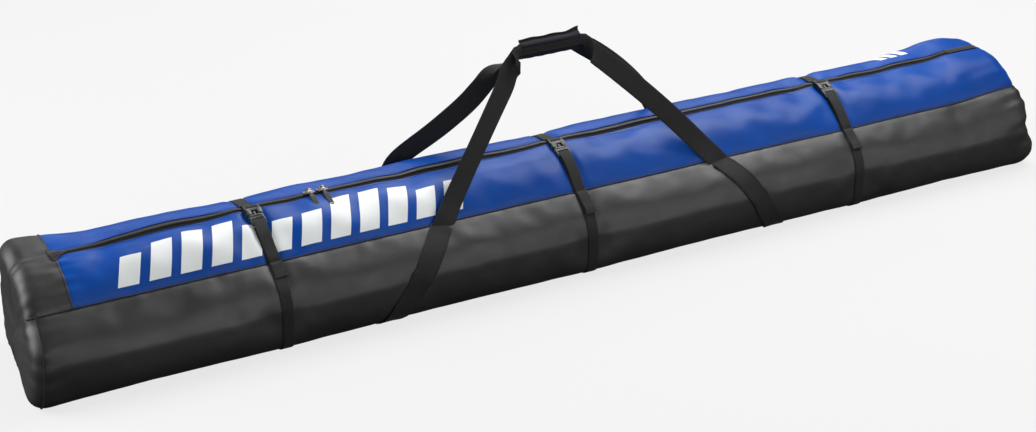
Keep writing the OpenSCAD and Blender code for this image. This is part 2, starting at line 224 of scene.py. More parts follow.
FOLD_TURN = math.pi * 0.97


def ribbon(name, centre, normal, width, thick, material, fold=0.0, shift=None):
    """Webbing along centre, with its face towards normal; fold, 0 to 1, turns one half over the other."""
    centre, normal = np.asarray(centre, float), np.asarray(normal, float)
    count = len(centre)
    tangent = unit(np.gradient(centre, axis=0))
    side = unit(np.cross(tangent, normal))
    normal = np.cross(side, tangent)
    width, thick, fold = (np.broadcast_to(np.asarray(a, float), count) for a in (width, thick, fold))
    run = run_of(centre)
    across = np.array([-1, -0.94, -0.7, -0.35, 0, 0.35, 0.7, 0.94, 1])
    loop, loop_u = [], []
    for face in (1, -1):
        order = across if face == 1 else across[::-1]
        for a in order:
            turn = FOLD_TURN * fold * (a > 0)
            reach = a * width / 2
            deep = thick / 2 * (0.45 if abs(a) == 1 else 1.0)
            lie = np.where(a > 0, (1 - np.cos(turn)) * thick * 0.6, 0)
            place = (
                centre
                + side * (reach * np.cos(turn))[:, None]
                + normal * (reach * np.sin(turn) + lie)[:, None]
            )
            face_n = normal * np.cos(turn)[:, None] - side * np.sin(turn)[:, None]
            loop.append(place + face_n * (face * deep)[:, None])
            loop_u.append(a * width / 2)
    around = len(loop)
    points = np.stack(loop, 1).reshape(-1, 3)
    u = np.stack(loop_u, 1)
    faces, uvs = [], []
    for i in range(count - 1):
        for k in range(around):
            m = (k + 1) % around
            faces.append([i * around + k, i * around + m, (i + 1) * around + m, (i + 1) * around + k])
            uvs += [(u[a, b], run[a]) for a, b in ((i, k), (i, m), (i + 1, m), (i + 1, k))]
    half = len(across)
    for i, flip in ((0, True), (count - 1, False)):
        for k in range(half - 1):
            a, b = i * around + k, i * around + k + 1
            c, d = i * around + around - 2 - k, i * around + around - 1 - k
            quad = [a, b, c, d]
            faces.append(quad[::-1] if flip else quad)
            uvs += [(0, run[i])] * 4
    return finish_mesh(name, points, faces, uvs, material)


def tube(name, path, radius, material, sides=8):
    """A round cord or piping along path, closed at both ends."""
    path = np.asarray(path, float)
    tangent = unit(np.gradient(path, axis=0))
    reference = np.where(np.abs(tangent[:, :1]) > 0.8, [[0, 1, 0]], [[1, 0, 0]])
    side = unit(np.cross(tangent, reference))
    up = np.cross(side, tangent)
    radius = np.broadcast_to(radius, len(path))
    angle = np.arange(sides) * TAU / sides
    ring = side[:, None] * np.cos(angle)[None, :, None] + up[:, None] * np.sin(angle)[None, :, None]
    points = (path[:, None] + ring * radius[:, None, None]).reshape(-1, 3)
    run = run_of(path)
    faces, uvs = [], []
    for i in range(len(path) - 1):
        for k in range(sides):
            m = (k + 1) % sides
            faces.append([i * sides + m, i * sides + k, (i + 1) * sides + k, (i + 1) * sides + m])
            w = TAU * radius[i] / sides
            uvs += [((k + 1) * w, run[i]), (k * w, run[i]), (k * w, run[i + 1]), ((k + 1) * w, run[i + 1])]
    last = (len(path) - 1) * sides
    faces += [list(range(sides)), [last + k for k in reversed(range(sides))]]
    uvs += [(0, 0)] * (2 * sides)
    return finish_mesh(name, points, faces, uvs, material)


# ------------------------------------------------------------------ materials


def new_material(name, colour, roughness, metallic=0.0):
    material = bpy.data.materials.new(name)
    material.use_nodes = True
    tree = material.node_tree
    shader = tree.nodes["Principled BSDF"]
    shader.inputs["Base Color"].default_value = (*colour, 1)
    shader.inputs["Roughness"].default_value = roughness
    shader.inputs["Metallic"].default_value = metallic
    return material, tree, shader


def math_node(tree, operation, a, b=None):
    made = tree.nodes.new("ShaderNodeMath")
    made.operation = operation
    if operation == "MULTIPLY_ADD":
        made.inputs[2].default_value = 0.5
    for socket, value in zip(made.inputs, (a, b)):
        if value is None:
            continue
        if isinstance(value, (int, float)):
            socket.default_value = value
        else:
            tree.links.new(value, socket)
    return made.outputs[0]


def object_noise(tree, scale, detail=3.0, stretch=(1, 1, 1)):
    """Noise in the object's own metres, from about 0.25 to 0.75."""
    place = tree.nodes.new("ShaderNodeTexCoord").outputs["Object"]
    mapping = tree.nodes.new("ShaderNodeMapping")
    mapping.inputs["Scale"].default_value = stretch
    tree.links.new(place, mapping.inputs["Vector"])
    noise = tree.nodes.new("ShaderNodeTexNoise")
    noise.inputs["Scale"].default_value = scale
    noise.inputs["Detail"].default_value = detail
    tree.links.new(mapping.outputs[0], noise.inputs["Vector"])
    return noise.outputs["Fac"]


def cloth_uv(tree):
    """The u and v of the piece's own map, in metres."""
    pin = tree.nodes.new("ShaderNodeUVMap")
    pin.uv_map = "cloth"
    split = tree.nodes.new("ShaderNodeSeparateXYZ")
    tree.links.new(pin.outputs[0], split.inputs[0])
    return split.outputs["X"], split.outputs["Y"]


def sine(tree, value, length):
    """A sine wave of the given length over value."""
    return math_node(tree, "SINE", math_node(tree, "MULTIPLY", value, TAU / length))


def weave(tree, pitch):
    """Height of a plain weave, from 0 to 1."""
    wave_u, wave_v = (sine(tree, value, pitch) for value in cloth_uv(tree))
    return math_node(tree, "MULTIPLY_ADD", math_node(tree, "MULTIPLY", wave_u, wave_v), 0.5)


def feed(tree, shader, socket, factor, stops):
    """Drives one input of the shader by a ramp over factor."""
    tree.links.new(ramp(tree, factor, stops), shader.inputs[socket])


def shades(colour, dark, light):
    """The colour made darker and lighter, no brighter than white."""
    return [tuple(min(1, share * c) for c in colour) for share in (dark, light)]


def bumps(tree, shader, layers):
    """Chains bump nodes, one for each (height, distance in metres)."""
    previous = None
    for height, distance in layers:
        bump = tree.nodes.new("ShaderNodeBump")
        bump.inputs["Distance"].default_value = distance
        tree.links.new(height, bump.inputs["Height"])
        if previous:
            tree.links.new(previous, bump.inputs["Normal"])
        previous = bump.outputs[0]
    tree.links.new(previous, shader.inputs["Normal"])


def ramp(tree, factor, stops):
    """A colour or grey ramp; stops are (position, colour or grey)."""
    made = tree.nodes.new("ShaderNodeValToRGB")
    elements, stops = made.color_ramp.elements, list(stops)
    while len(elements) < len(stops):
        elements.new(0.5)
    for element, (position, colour) in zip(elements, stops):
        element.position = position
        element.color = (*colour, 1) if hasattr(colour, "__len__") else (colour, colour, colour, 1)
    tree.links.new(factor, made.inputs[0])
    return made.outputs[0]


def tarpaulin(name, dark, light, rough_low, rough_high, crease, specular=0.5):
    """PVC-coated cloth: a fine weave under a smooth coat, soft creases and a slightly uneven gloss."""
    material, tree, shader = new_material(name, light, rough_low)
    shader.inputs["Specular IOR Level"].default_value = specular
    tone = object_noise(tree, 6.0, 4.0)
    feed(tree, shader, "Base Color", tone, [(0.3, dark), (0.7, light)])
    gloss = object_noise(tree, 26.0, 5.0)
    feed(tree, shader, "Roughness", gloss, [(0.3, rough_low), (0.7, rough_high)])
    slack = (object_noise(tree, 8.0, 3.0, (0.7, 1, 1)), crease)
    dimples = (object_noise(tree, 42.0, 3.0), crease * 0.13)
    bumps(tree, shader, [slack, dimples, (weave(tree, 0.0016), 0.00004)])
    return material


def webbing_material(name, colour):
    """Ribbed nylon webbing: columns along its length, crossed by a fine herringbone; its colour follows the
    weave's height, with painted shade in the hollows and a painted highlight on the ridges.
    """
    material, tree, shader = new_material(name, colour, 0.72)
    shader.inputs["Specular IOR Level"].default_value = 0.35
    u, v = cloth_uv(tree)
    ribs = sine(tree, u, 0.0026)
    slant = math_node(tree, "ADD", math_node(tree, "MULTIPLY", math_node(tree, "ABSOLUTE", ribs), 0.0012), v)
    cross = sine(tree, slant, 0.0017)
    height = math_node(tree, "MULTIPLY_ADD", math_node(tree, "MULTIPLY", ribs, cross), 0.5)
    # painted shade in the weave's hollows and painted highlight on its ridges, keyed to the weave's height
    feed(tree, shader, "Base Color", height, zip((0.1, 0.9), shades(colour, 0.55, 1.5)))
    shader.inputs["Sheen Weight"].default_value = 0.05
    bumps(tree, shader, [(height, 0.0002), (object_noise(tree, 60.0), 0.0006)])
    return material


def nylon_material(name, colour, sheen):
    """Plain woven nylon, matt, with a faint check of painted shade in the weave's hollows and painted
    highlight on its ridges.
    """
    material, tree, shader = new_material(name, colour, 0.8)
    shader.inputs["Specular IOR Level"].default_value = 0.25
    height = weave(tree, 0.0011)
    # painted shade in the weave's hollows and painted highlight on its ridges, keyed to the weave's height
    feed(tree, shader, "Base Color", height, zip((0.2, 0.8), shades(colour, 0.7, 1.3)))
    shader.inputs["Sheen Weight"].default_value = sheen
    bumps(tree, shader, [(height, 0.00012), (object_noise(tree, 45.0), 0.0009)])
    return material


def plastic_material(name, colour, roughness):
    """Moulded plastic with a fine spark-eroded grain and worn, paler patches."""
    material, tree, shader = new_material(name, colour, roughness)
    wear = object_noise(tree, 160.0, 4.0)
    feed(tree, shader, "Base Color", wear, zip((0.45, 0.75), shades(colour, 1, 1.9)))
    feed(tree, shader, "Roughness", wear, [(0.3, roughness), (0.7, roughness + 0.15)])
    bumps(tree, shader, [(object_noise(tree, 1800.0, 2.0), 0.00004)])
    return material


def metal_material(name, colour):
    """Dark nickel plating, rubbed brighter in places."""
    material, tree, shader = new_material(name, colour, 0.28, 1.0)
    rub = object_noise(tree, 300.0, 4.0)
    feed(tree, shader, "Base Color", rub, zip((0.4, 0.7), shades(colour, 1, 1.8)))
    feed(tree, shader, "Roughness", rub, [(0.3, 0.2), (0.7, 0.42)])
    bumps(tree, shader, [(object_noise(tree, 900.0, 2.0), 0.00003)])
    return material


def foam_material(name):
    """Closed-cell foam, darker in the pits of its cells: painted shade that follows the bump."""
    material, tree, shader = new_material(name, (0.06, 0.06, 0.07), 0.9)
    cells = object_noise(tree, 900.0, 2.0)
    # painted shade in the cell pits, keyed to the same noise as the bump
    feed(tree, shader, "Base Color", cells, [(0.4, 0.03), (0.6, 0.1)])
    bumps(tree, shader, [(cells, 0.0004)])
    return material


BLUE = tarpaulin("blue_tarpaulin", (0.0003, 0.043, 0.25), (0.0006, 0.058, 0.32), 0.35, 0.45, 0.0010, 0.20)
BLACK = tarpaulin("black_tarpaulin", (0.014, 0.014, 0.015), (0.022, 0.022, 0.023), 0.40, 0.52, 0.0012)
PRINT = tarpaulin("white_print", (0.66, 0.69, 0.69), (0.76, 0.78, 0.78), 0.40, 0.50, 0.0010)
BINDING = nylon_material("black_binding", (0.012, 0.012, 0.013), 0.1)
WEBBING = webbing_material("black_webbing", (0.009, 0.009, 0.010))
TAPE = nylon_material("zip_tape_cloth", (0.010, 0.010, 0.011), 0.1)
COIL = plastic_material("zip_coil_nylon", (0.018, 0.016, 0.015), 0.4)
PLASTIC = plastic_material("black_acetal", (0.014, 0.014, 0.015), 0.3)
RUBBER = plastic_material("tab_rubber_black", (0.012, 0.012, 0.012), 0.5)
METAL = metal_material("dark_nickel", (0.20, 0.18, 0.165))
GRIP_CLOTH = nylon_material("grip_nylon", (0.008, 0.006, 0.013), 0.03)
FLAP_CLOTH = nylon_material("grip_flap_nylon", (0.008, 0.007, 0.009), 0.15)
LINING = nylon_material("lining_nylon", (0.055, 0.058, 0.068), 0.1)
FOAM = foam_material("closed_cell_foam")
THREAD_BLUE = nylon_material("blue_thread", (0.010, 0.045, 0.22), 0.0)
THREAD_BLACK = nylon_material("black_thread", (0.028, 0.028, 0.03), 0.0)

# ------------------------------------------------------------------ camera, lights and floor


def make_camera():
    data = bpy.data.cameras.new("camera")
    camera = bpy.data.objects.new("camera", data)
    bpy.context.scene.collection.objects.link(camera)
    camera.location = (-1.853, -3.068, 1.6425)
    camera.rotation_euler = (math.radians(66.16), 0, math.radians(-30.22))
    data.lens = 78.45
    data.sensor_width = 36
    bpy.context.scene.camera = camera


def area_light(name, place, target, size, energy):
    """A soft rectangular light that faces target."""
    data = bpy.data.lights.new(name, "AREA")
    data.shape = "RECTANGLE"
    data.size, data.size_y = size
    data.energy = energy
    light = bpy.data.objects.new(name, data)
    bpy.context.scene.collection.objects.link(light)
    light.location = place
    direction = np.array(target, float) - np.array(place, float)
    yaw = math.atan2(direction[1], direction[0])
    tilt = math.acos(-direction[2] / np.linalg.norm(direction))
    light.rotation_euler = (0, -tilt, yaw)


FLOOR_HALF, FLOOR_DROP = 12, -0.0005
FLOOR_ALBEDO, FLOOR_GLOW = 0.10, 0.765
SKY = [(0.08, 0.02), (0.30, 0.09), (0.50, 0.11), (0.66, 0.04), (0.92, 0.05)]


def make_stage():
    """A pale floor that only the camera sees, a dim grey room and four soft lights."""
    world = bpy.data.worlds.new("studio")
    world.use_nodes = True
    tree = world.node_tree
    split = tree.nodes.new("ShaderNodeSeparateXYZ")
    tree.links.new(tree.nodes.new("ShaderNodeTexCoord").outputs["Generated"], split.inputs[0])
    rise = math_node(tree, "MULTIPLY_ADD", split.outputs["Z"], 0.5)
    tree.links.new(ramp(tree, rise, SKY), tree.nodes["Background"].inputs[0])
    bpy.context.scene.world = world
    bpy.context.scene.view_settings.view_transform = "Standard"
    material, _, shader = new_material("floor_paper", (FLOOR_ALBEDO,) * 3, 1.0)
    shader.inputs["Specular IOR Level"].default_value = 0.0
    shader.inputs["Emission Color"].default_value = (1, 1, 1, 1)
    shader.inputs["Emission Strength"].default_value = FLOOR_GLOW
    mesh = bpy.data.meshes.new("floor")
    corners = [(FLOOR_HALF * a, FLOOR_HALF * b, FLOOR_DROP) for a, b in ((-1, -1), (1, -1), (1, 1), (-1, 1))]
    mesh.from_pydata(corners, [], [(0, 1, 2, 3)])
    mesh.materials.append(material)
    floor = bpy.data.objects.new("floor", mesh)
    bpy.context.scene.collection.objects.link(floor)
    floor.visible_glossy = floor.visible_diffuse = False
    area_light("overhead", (1.5, 0.50, 2.6), (0.4, 0, 0.2), (1.4, 3.0), 115)
    area_light("front_strip", (0.9, -2.7, 0.95), (0.3, 0, 0.10), (1.7, 4.8), 52)
    area_light("left_window", (-2.9, 0.9, 1.5), (-0.9, 0, 0.12), (2.4, 2.4), 130)
    area_light("back_window", (1.2, 2.8, 1.7), (0.5, 0, 0.2), (0.9, 3.6), 22)


make_camera()
make_stage()

# ------------------------------------------------------------------ the bag's skin

SEAM_T = math.degrees(math.asin(((HINGE_Z + 0.0008 - MID_Z) / CROWN_H) ** (CROWN_POWER / 2)))
ZIP_T = math.degrees(math.asin((ZIP_HALF / HALF_W) ** (CROWN_POWER / 2)))
PANEL_COLS, SHELL_COLS, ZIP_COLS = 12, 58, 4
J_FRONT = PANEL_COLS
J_REAR = PANEL_COLS + SHELL_COLS
J_ZIP = 2 * PANEL_COLS + SHELL_COLS
END_R = 0.026
FACE_SCALE = 0.80
FACE_RINGS = 9
STEP = 0.0105
FINE = 2  # the grid is made this many times finer after the simulation


def rim(t):
    """Points (y, z) of the section at the angles t in degrees: 0 is the rear, 90 the top, 180 the front."""
    c, s = np.cos(np.radians(t)), np.sin(np.radians(t))
    power = np.where(s < 0, LOW_POWER, CROWN_POWER)
    height = np.where(s < 0, LOW_H, CROWN_H)
    y = HALF_W * np.sign(c) * np.abs(c) ** (2 / power)
    z = MID_Z + height * np.sign(s) * np.abs(s) ** (2 / power)
    return np.stack([y, np.maximum(z, BASE_Z)], -1)


def spaced(t0, t1, count):
    """count + 1 angles from t0 to t1, at even distances along the section."""
    t = np.linspace(t0, t1, 600)
    p = rim(t)
    s = run_of(p)
    return np.interp(np.linspace(0, s[-1], count + 1), s, t)


RING_T = np.concatenate(
    [
        spaced(90 + ZIP_T, 180 - SEAM_T, PANEL_COLS)[:-1],
        spaced(180 - SEAM_T, 360 + SEAM_T, SHELL_COLS)[:-1],
        spaced(360 + SEAM_T, 450 - ZIP_T, PANEL_COLS),
        np.linspace(450 - ZIP_T, 450 + ZIP_T, ZIP_COLS + 1)[1:-1],
    ]
)


def bulges():
    """Where the stuffed section stands out of the plain one: front panel, rear panel and walls."""
    j = np.arange(len(RING_T))
    front = np.clip(j / PANEL_COLS, 0, 1)
    rear = np.clip((j - J_REAR) / PANEL_COLS, 0, 1)
    low = np.clip((j - J_FRONT) / SHELL_COLS, 0, 1)
    low = np.minimum(low, 1 - low)
    wall = smooth(0.0, 0.10, low) * (1 - smooth(0.23, 0.31, low))
    return np.sin(math.pi * front), np.sin(math.pi * rear**1.25) ** 1.3, wall


def stations():
    """The x and the scale of each ring of the grid, from the middle of one end face to the other's."""
    face = np.linspace(0, FACE_SCALE, FACE_RINGS + 1)
    corner = np.radians([22, 45, 68])
    depth = np.r_[0 * face, END_R * (1 - np.cos(corner))]
    scale = np.r_[face, FACE_SCALE + (1 - FACE_SCALE) * np.sin(corner)]
    marks = sorted(
        [-HALF_L + END_R, PANEL_X0, PANEL_X1, HALF_L - END_R]
        + [x0 + s * STRAP_W / 2 for x0 in STRAP_X for s in (-1, 0, 1)]
    )
    body = [marks[0]]
    for a, b in zip(marks, marks[1:]):
        body += list(np.linspace(a, b, max(1, math.ceil((b - a) / STEP)) + 1)[1:])
    return np.r_[depth - HALF_L, body, HALF_L - depth[::-1]], np.r_[scale, np.ones(len(body)), scale[::-1]]


def strap_squeeze(x, reach=0.055, depth=0.6):
    """1 away from the straps and less near them, where they pull the cloth in."""
    free = np.ones_like(x)
    for x0 in STRAP_X:
        free = free * (1 - depth * bell(x, x0, reach))
    return free


def zip_sway(x):
    """How far the zip line wanders to the side and up, away from the sliders and the straps."""
    free = strap_squeeze(x, 0.045, 1.0) * smooth(-0.89, -0.80, x) * (1 - smooth(0.78, 0.87, x))
    free = free * (1 - bell(x, sum(SLIDER_X) / 2, 0.05))
    lively = 0.35 + 0.65 * bell(x, -0.28, 0.14)
    sway = np.sin(TAU * x / 0.145 + 0.6) + 0.5 * np.sin(TAU * x / 0.38 + 2.0)
    rise = np.sin(TAU * x / 0.19 + 1.1) + 0.4 * np.sin(TAU * x / 0.09)
    forward = 0.014 * (1 - smooth(-0.90, -0.64, x))
    return 0.0026 * sway * free * lively - forward, 0.0020 * rise * free * lively, 0.0028 * free


SECTION_MIDDLE = np.array([0.0, 0.082])


def plain_grid():
    """The bag's surface before the cloth simulation, as rings of points along the bag."""
    x, scale = stations()
    section = rim(RING_T)
    outward = np.roll(section, 1, 0) - np.roll(section, -1, 0)
    outward = unit(np.stack([-outward[:, 1], outward[:, 0]], -1))
    outward *= np.sign((outward * (section - SECTION_MIDDLE)).sum(-1, keepdims=True))
    front, rear, wall = bulges()
    boxy = 1 - smooth(-0.93, -0.80, x)
    boxy = boxy + 0.8 * smooth(0.70, 0.88, x) * (1 - 0.8 * smooth(0.89, HALF_L, x))
    at_left = (1 - smooth(-HALF_L + 0.03, -0.86, x))[:, None]
    rear_seam = bell(np.arange(len(RING_T)), J_REAR, 4.0)
    size = (
        0.005 * at_left * rear_seam[None]
        + 0.0065 * front[None] * strap_squeeze(x)[:, None]
        + rear[None] * (0.0165 * strap_squeeze(x, 0.05, 0.15) + 0.013 * boxy)[:, None]
        + wall[None] * (0.0105 - 0.003 * (1 - strap_squeeze(x)))[:, None]
    )
    yz = section[None] + outward[None] * size[..., None]
    # the top sinks a little towards both ends
    sink = 0.13 * smooth(PANEL_X1 - 0.03, HALF_L, x) + 0.02 * (1 - smooth(-HALF_L, -0.84, x))
    above = np.maximum(yz[..., 1] - HINGE_Z, 0)
    yz[..., 1] -= above * sink[:, None]
    yz[..., 1] += 0.010 * smooth(0.80, HALF_L, x)[:, None] * smooth(0.06, 0.13, yz[..., 1])
    # the zip line wanders and leans to the front, and takes the panels' upper halves with it
    side, up, lean = zip_sway(x)
    near = (1 - smooth(0.0, 0.075, np.abs(yz[..., 0]))) * (yz[..., 1] > HINGE_Z)
    tilt = np.clip(yz[..., 0] / ZIP_HALF, -1, 1) * (1 - smooth(0.0, 0.045, np.abs(yz[..., 0])))
    yz[..., 0] += near * side[:, None]
    yz[..., 1] += near * up[:, None] + tilt * lean[:, None] * (yz[..., 1] > HINGE_Z)
    yz = SECTION_MIDDLE + (yz - SECTION_MIDDLE) * scale[:, None, None]
    grid = np.concatenate([np.broadcast_to(x[:, None, None], (*yz.shape[:2], 1)), yz], -1)
    # the end faces swell a little; the left one stands out at its front foot, the right one has a low lobe
    z, out = grid[..., 2], 1 - (scale / FACE_SCALE) ** 2
    left, right = 1 - smooth(-HALF_L, -HALF_L + 0.09, x), smooth(HALF_L - 0.09, HALF_L, x)
    face = np.clip(out, 0, 1) * (np.abs(x) > HALF_L - 1e-6)
    grid[..., 0] += np.where(x < 0, 0.001, 0.008)[:, None] * face[:, None]
    front_share = np.clip((1 - grid[..., 1] / HALF_W) / 2, 0, 1)
    grid[..., 0] -= left[:, None] * front_share * (0.016 + 0.014 * (1 - smooth(-0.03, 0.12, z)))
    grid[..., 0] += left[:, None] * (1 - front_share) * (0.022 - 0.012 * smooth(0.05, 0.20, z))
    grid[..., 0] += right[:, None] * 0.030 * bell(z, 0.030, 0.042)
    grid[..., 0] += right[:, None] * 0.015 * bell(z, 0.125, 0.045)
    return grid


def grid_faces(rows, cols):
    """The faces of a grid that is closed round the bag and whose first and last rows are single points."""
    faces = []
    for i in range(rows - 1):
        for j in range(cols):
            quad = [(i, j), (i, (j + 1) % cols), (i + 1, (j + 1) % cols), (i + 1, j)]
            ids = []
            for a, b in quad:
                v = 0 if a == 0 else (1 + (rows - 2) * cols if a == rows - 1 else 1 + (a - 1) * cols + b)
                if v not in ids:
                    ids.append(v)
            faces.append(ids)
    return faces


INFLATE_FRAMES = 20
INFLATE_CAP = 0.006  # no point moves further than this


def inflate(grid, held):
    """Blows the bag up as cloth with a little spare material, held at its seams, straps and base."""
    rows, cols = grid.shape[:2]
    points = np.concatenate([grid[:1, 0], grid[1:-1].reshape(-1, 3), grid[-1:, 0]])
    mesh = bpy.data.meshes.new("blank")
    mesh.from_pydata([tuple(p) for p in points], [], grid_faces(rows, cols))
    blank = bpy.data.objects.new("blank", mesh)
    bpy.context.scene.collection.objects.link(blank)
    group = blank.vertex_groups.new(name="held")
    pins = np.concatenate([[False], held[1:-1].ravel(), [False]])
    group.add([int(v) for v in np.flatnonzero(pins)], 1.0, "REPLACE")
    cloth = blank.modifiers.new("cloth", "CLOTH")
    s = cloth.settings
    s.quality = 4
    s.mass = 0.3
    s.tension_stiffness = s.compression_stiffness = 18
    s.shear_stiffness = 8
    s.bending_stiffness = 2.0
    s.use_pressure = True
    s.uniform_pressure_force = 3.0
    s.vertex_group_mass = "held"
    s.shrink_min = -0.008
    s.effector_weights.gravity = 0
    cloth.collision_settings.use_collision = False
    cloth.point_cache.frame_start, cloth.point_cache.frame_end = 1, INFLATE_FRAMES
    for number in range(1, INFLATE_FRAMES + 1):
        bpy.context.scene.frame_set(number)
    shown = blank.evaluated_get(bpy.context.evaluated_depsgraph_get()).to_mesh()
    moved = np.array([v.co for v in shown.vertices])
    bpy.data.objects.remove(blank)
    bpy.context.scene.frame_set(1)
    shift = np.zeros_like(grid)
    shift[0], shift[-1] = moved[0] - points[0], moved[-1] - points[-1]
    shift[1:-1] = (moved - points)[1:-1].reshape(rows - 2, cols, 3)
    for _ in range(2):
        shift = (np.roll(shift, 1, 1) + 2 * shift + np.roll(shift, -1, 1)) / 4
        shift[1:-1] = (shift[:-2] + 2 * shift[1:-1] + shift[2:]) / 4
    shift[held] = 0
    shift[0], shift[-1] = shift[0].mean(0), shift[-1].mean(0)
    size = np.linalg.norm(shift, axis=-1, keepdims=True)
    shift *= np.tanh(size / INFLATE_CAP) * INFLATE_CAP / np.maximum(size, 1e-9)
    made = grid + shift
    made[..., 2] = np.maximum(made[..., 2], BASE_Z)
    return made


def held_points(grid):
    """True where the simulation keeps a point: seams, zip, straps and the base."""
    x, _ = stations()
    held = np.zeros(grid.shape[:2], bool)
    held[:, [0, J_FRONT, J_REAR]] = True
    held[:, J_ZIP:] = True
    held |= (np.abs(x[:, None] - np.array(STRAP_X)[None]).min(1) < STRAP_W / 2 + 1e-4)[:, None]
    held |= grid[..., 2] < BASE_Z + 1e-4
    held |= (np.abs(x - PANEL_X0) < 1e-4)[:, None] & (grid[..., 2] > HINGE_Z)
    corners = (np.abs(x) <= HALF_L - 0.004) & (np.abs(x) > HALF_L - END_R - 1e-4)
    held[corners] |= grid[corners, :, 2] < 0.02
    return held


def finer(grid, closed):
    """The grid with a cubic point between each two, along both directions."""

    def double(a, wrap):
        if wrap:
            before, after, far = np.roll(a, 1, 0), np.roll(a, -1, 0), np.roll(a, -2, 0)
            middle = (9 * (a + after) - before - far) / 16
            return np.stack([a, middle], 1).reshape(-1, *a.shape[1:])
        padded = np.concatenate([2 * a[:1] - a[1:2], a, 2 * a[-1:] - a[-2:-1]])
        middle = (9 * (padded[1:-2] + padded[2:-1]) - padded[:-3] - padded[3:]) / 16
        made = np.empty((2 * len(a) - 1, *a.shape[1:]))
        made[::2], made[1::2] = a, middle
        return made

    return double(double(grid, False).swapaxes(0, 1), closed).swapaxes(0, 1)


COARSE = plain_grid()
COARSE = inflate(COARSE, held_points(COARSE))
SKIN = finer(COARSE, True)
ROWS, COLS = SKIN.shape[:2]
J0, JF, JR, JZ = 0, FINE * J_FRONT, FINE * J_REAR, FINE * J_ZIP
ROW_X = np.interp(np.arange(ROWS) / FINE, np.arange(len(stations()[0])), stations()[0])
BODY_ROWS = np.abs(ROW_X) < HALF_L - 0.003


def skin_uv():
    """u along the bag and v round it, in metres, with one spare column so that the map doesn't wrap."""
    middle = SKIN[ROWS // 2]
    v = run_of(np.concatenate([middle, middle[:1]]))
    u = run_of(SKIN[:, JF + 40]) - HALF_L
    return np.stack(np.meshgrid(u, v, indexing="ij"), -1)


SKIN_UV = skin_uv()


def wrinkle():
    """Puckers along the seams and the zip, folds beside the straps, gathers at the cap's seam and the shell's
    ends, and slack in the panels.
    """
    u, v = SKIN_UV[..., :COLS, 0], SKIN_UV[..., :COLS, 1]
    x = SKIN[..., 0]
    j = np.arange(COLS)[None]
    v_front, v_rear = SKIN_UV[0, JF, 1], SKIN_UV[0, JR, 1]
    body = (np.abs(ROW_X) < HALF_L - 0.01)[:, None]
    panel = ((j <= JF) | (j >= JR)) * 1.0
    above_base = smooth(BASE_Z + 0.002, 0.03, SKIN[..., 2])
    # broad slack
    height = 0.0011 * waves(x * 0.7, v, (0.30, 0.20), 3) * above_base
    height += 0.00014 * waves(x, v * 1.4, (0.07, 0.045), 4) * above_base
    # puckers along the two long seams, longer and softer on the heavy shell
    for line, seed in ((v_front, 11), (v_rear, 12)):
        d = v - line
        on_panel = (d < 0) if line == v_front else (d > 0)
        ripple = waves(x, d * 0.25, (0.034, 0.021), seed)
        reach = np.where(on_panel, 0.016, 0.020)
        lively = 0.5 + 0.5 * np.clip(waves(x, 0 * x, (0.5, 0.3), seed + 5), 0, 1)
        height += np.where(on_panel, 0.00034, 0.0006) * lively * ripple * np.exp(-np.abs(d) / reach)
        height -= 0.0016 * bell(d, 0, 0.0035) * body
    # puckers along the zip
    d_zip = np.minimum(v, SKIN_UV[0, COLS, 1] - v)
    ripple = waves(x, d_zip * 0.3, (0.11, 0.065), 21)
    height += 0.0007 * ripple * np.exp(-np.abs(d_zip - 0.01) / 0.022) * panel
    # folds that run into the straps
    for n, x0 in enumerate(STRAP_X):
        off = np.abs(x - x0)
        side = bell(off, 0.030, 0.028) * (off > STRAP_W / 2)
        fold = waves(off * 0.5, v, (0.075, 0.045), 31 + n)
        height += 0.0015 * side * fold * panel + 0.0009 * side * fold * (1 - panel) * above_base
        height -= 0.0030 * np.exp(-((off / 0.016) ** 4)) * above_base * (0.4 + 0.6 * panel)
    # gathers at the cap's seam and at both ends of the shell
    cap = np.abs(x - PANEL_X0)
    height += 0.0012 * waves(cap * 0.4, v, (0.030, 0.019), 41) * np.exp(-cap / 0.018) * panel
    for s, seed, share in ((-1, 42, 0.35), (1, 43, 1.0)):
        off = np.abs(s * HALF_L - x)
        tuck = waves(off * 0.3, v, (0.040, 0.024), seed)
        height += 0.0021 * share * tuck * np.exp(-off / 0.040) * (1 - panel) * above_base
        height += 0.0012 * share * tuck * np.exp(-off / 0.050) * panel
    ring = np.minimum(np.arange(ROWS), ROWS - 1 - np.arange(ROWS)) / (FINE * FACE_RINGS)
    pole = (smooth(0.25, 1.0, ring) ** 2)[:, None]
    zip_strip = 1 - 0.8 * ((j > JZ) | (j < 1))
    return height * pole * zip_strip


SKIN = SKIN + normals_of(SKIN, True) * wrinkle()[..., None]
SKIN[0], SKIN[-1] = SKIN[0].mean(0), SKIN[-1].mean(0)
SKIN[..., 2] = np.maximum(SKIN[..., 2], BASE_Z)
SKIN_N = normals_of(SKIN, True)
SKIN_N[0], SKIN_N[-1] = (-1, 0, 0), (1, 0, 0)


def on_skin(x, j, lift=0.0):
    """Point and outward direction of the skin at x along the bag and at ring place j."""
    rows = np.flatnonzero(BODY_ROWS)
    j = float(j) % COLS
    j0, share = int(j), j - int(j)
    j1 = (j0 + 1) % COLS
    track = SKIN[rows][:, j0] * (1 - share) + SKIN[rows][:, j1] * share
    n_track = SKIN_N[rows][:, j0] * (1 - share) + SKIN_N[rows][:, j1] * share
    order = np.argsort(track[:, 0])
    point = np.array([np.interp(x, track[order, 0], track[order, a]) for a in range(3)])
    normal = unit(np.array([np.interp(x, track[order, 0], n_track[order, a]) for a in range(3)]))
    return point + normal * lift, normal


def skin_path(xs, js, lifts):
    made = [on_skin(x, j, lift) for x, j, lift in zip(xs, js, lifts)]
    return np.array([m[0] for m in made]), np.array([m[1] for m in made])


# ------------------------------------------------------------------ shell, cap and panels

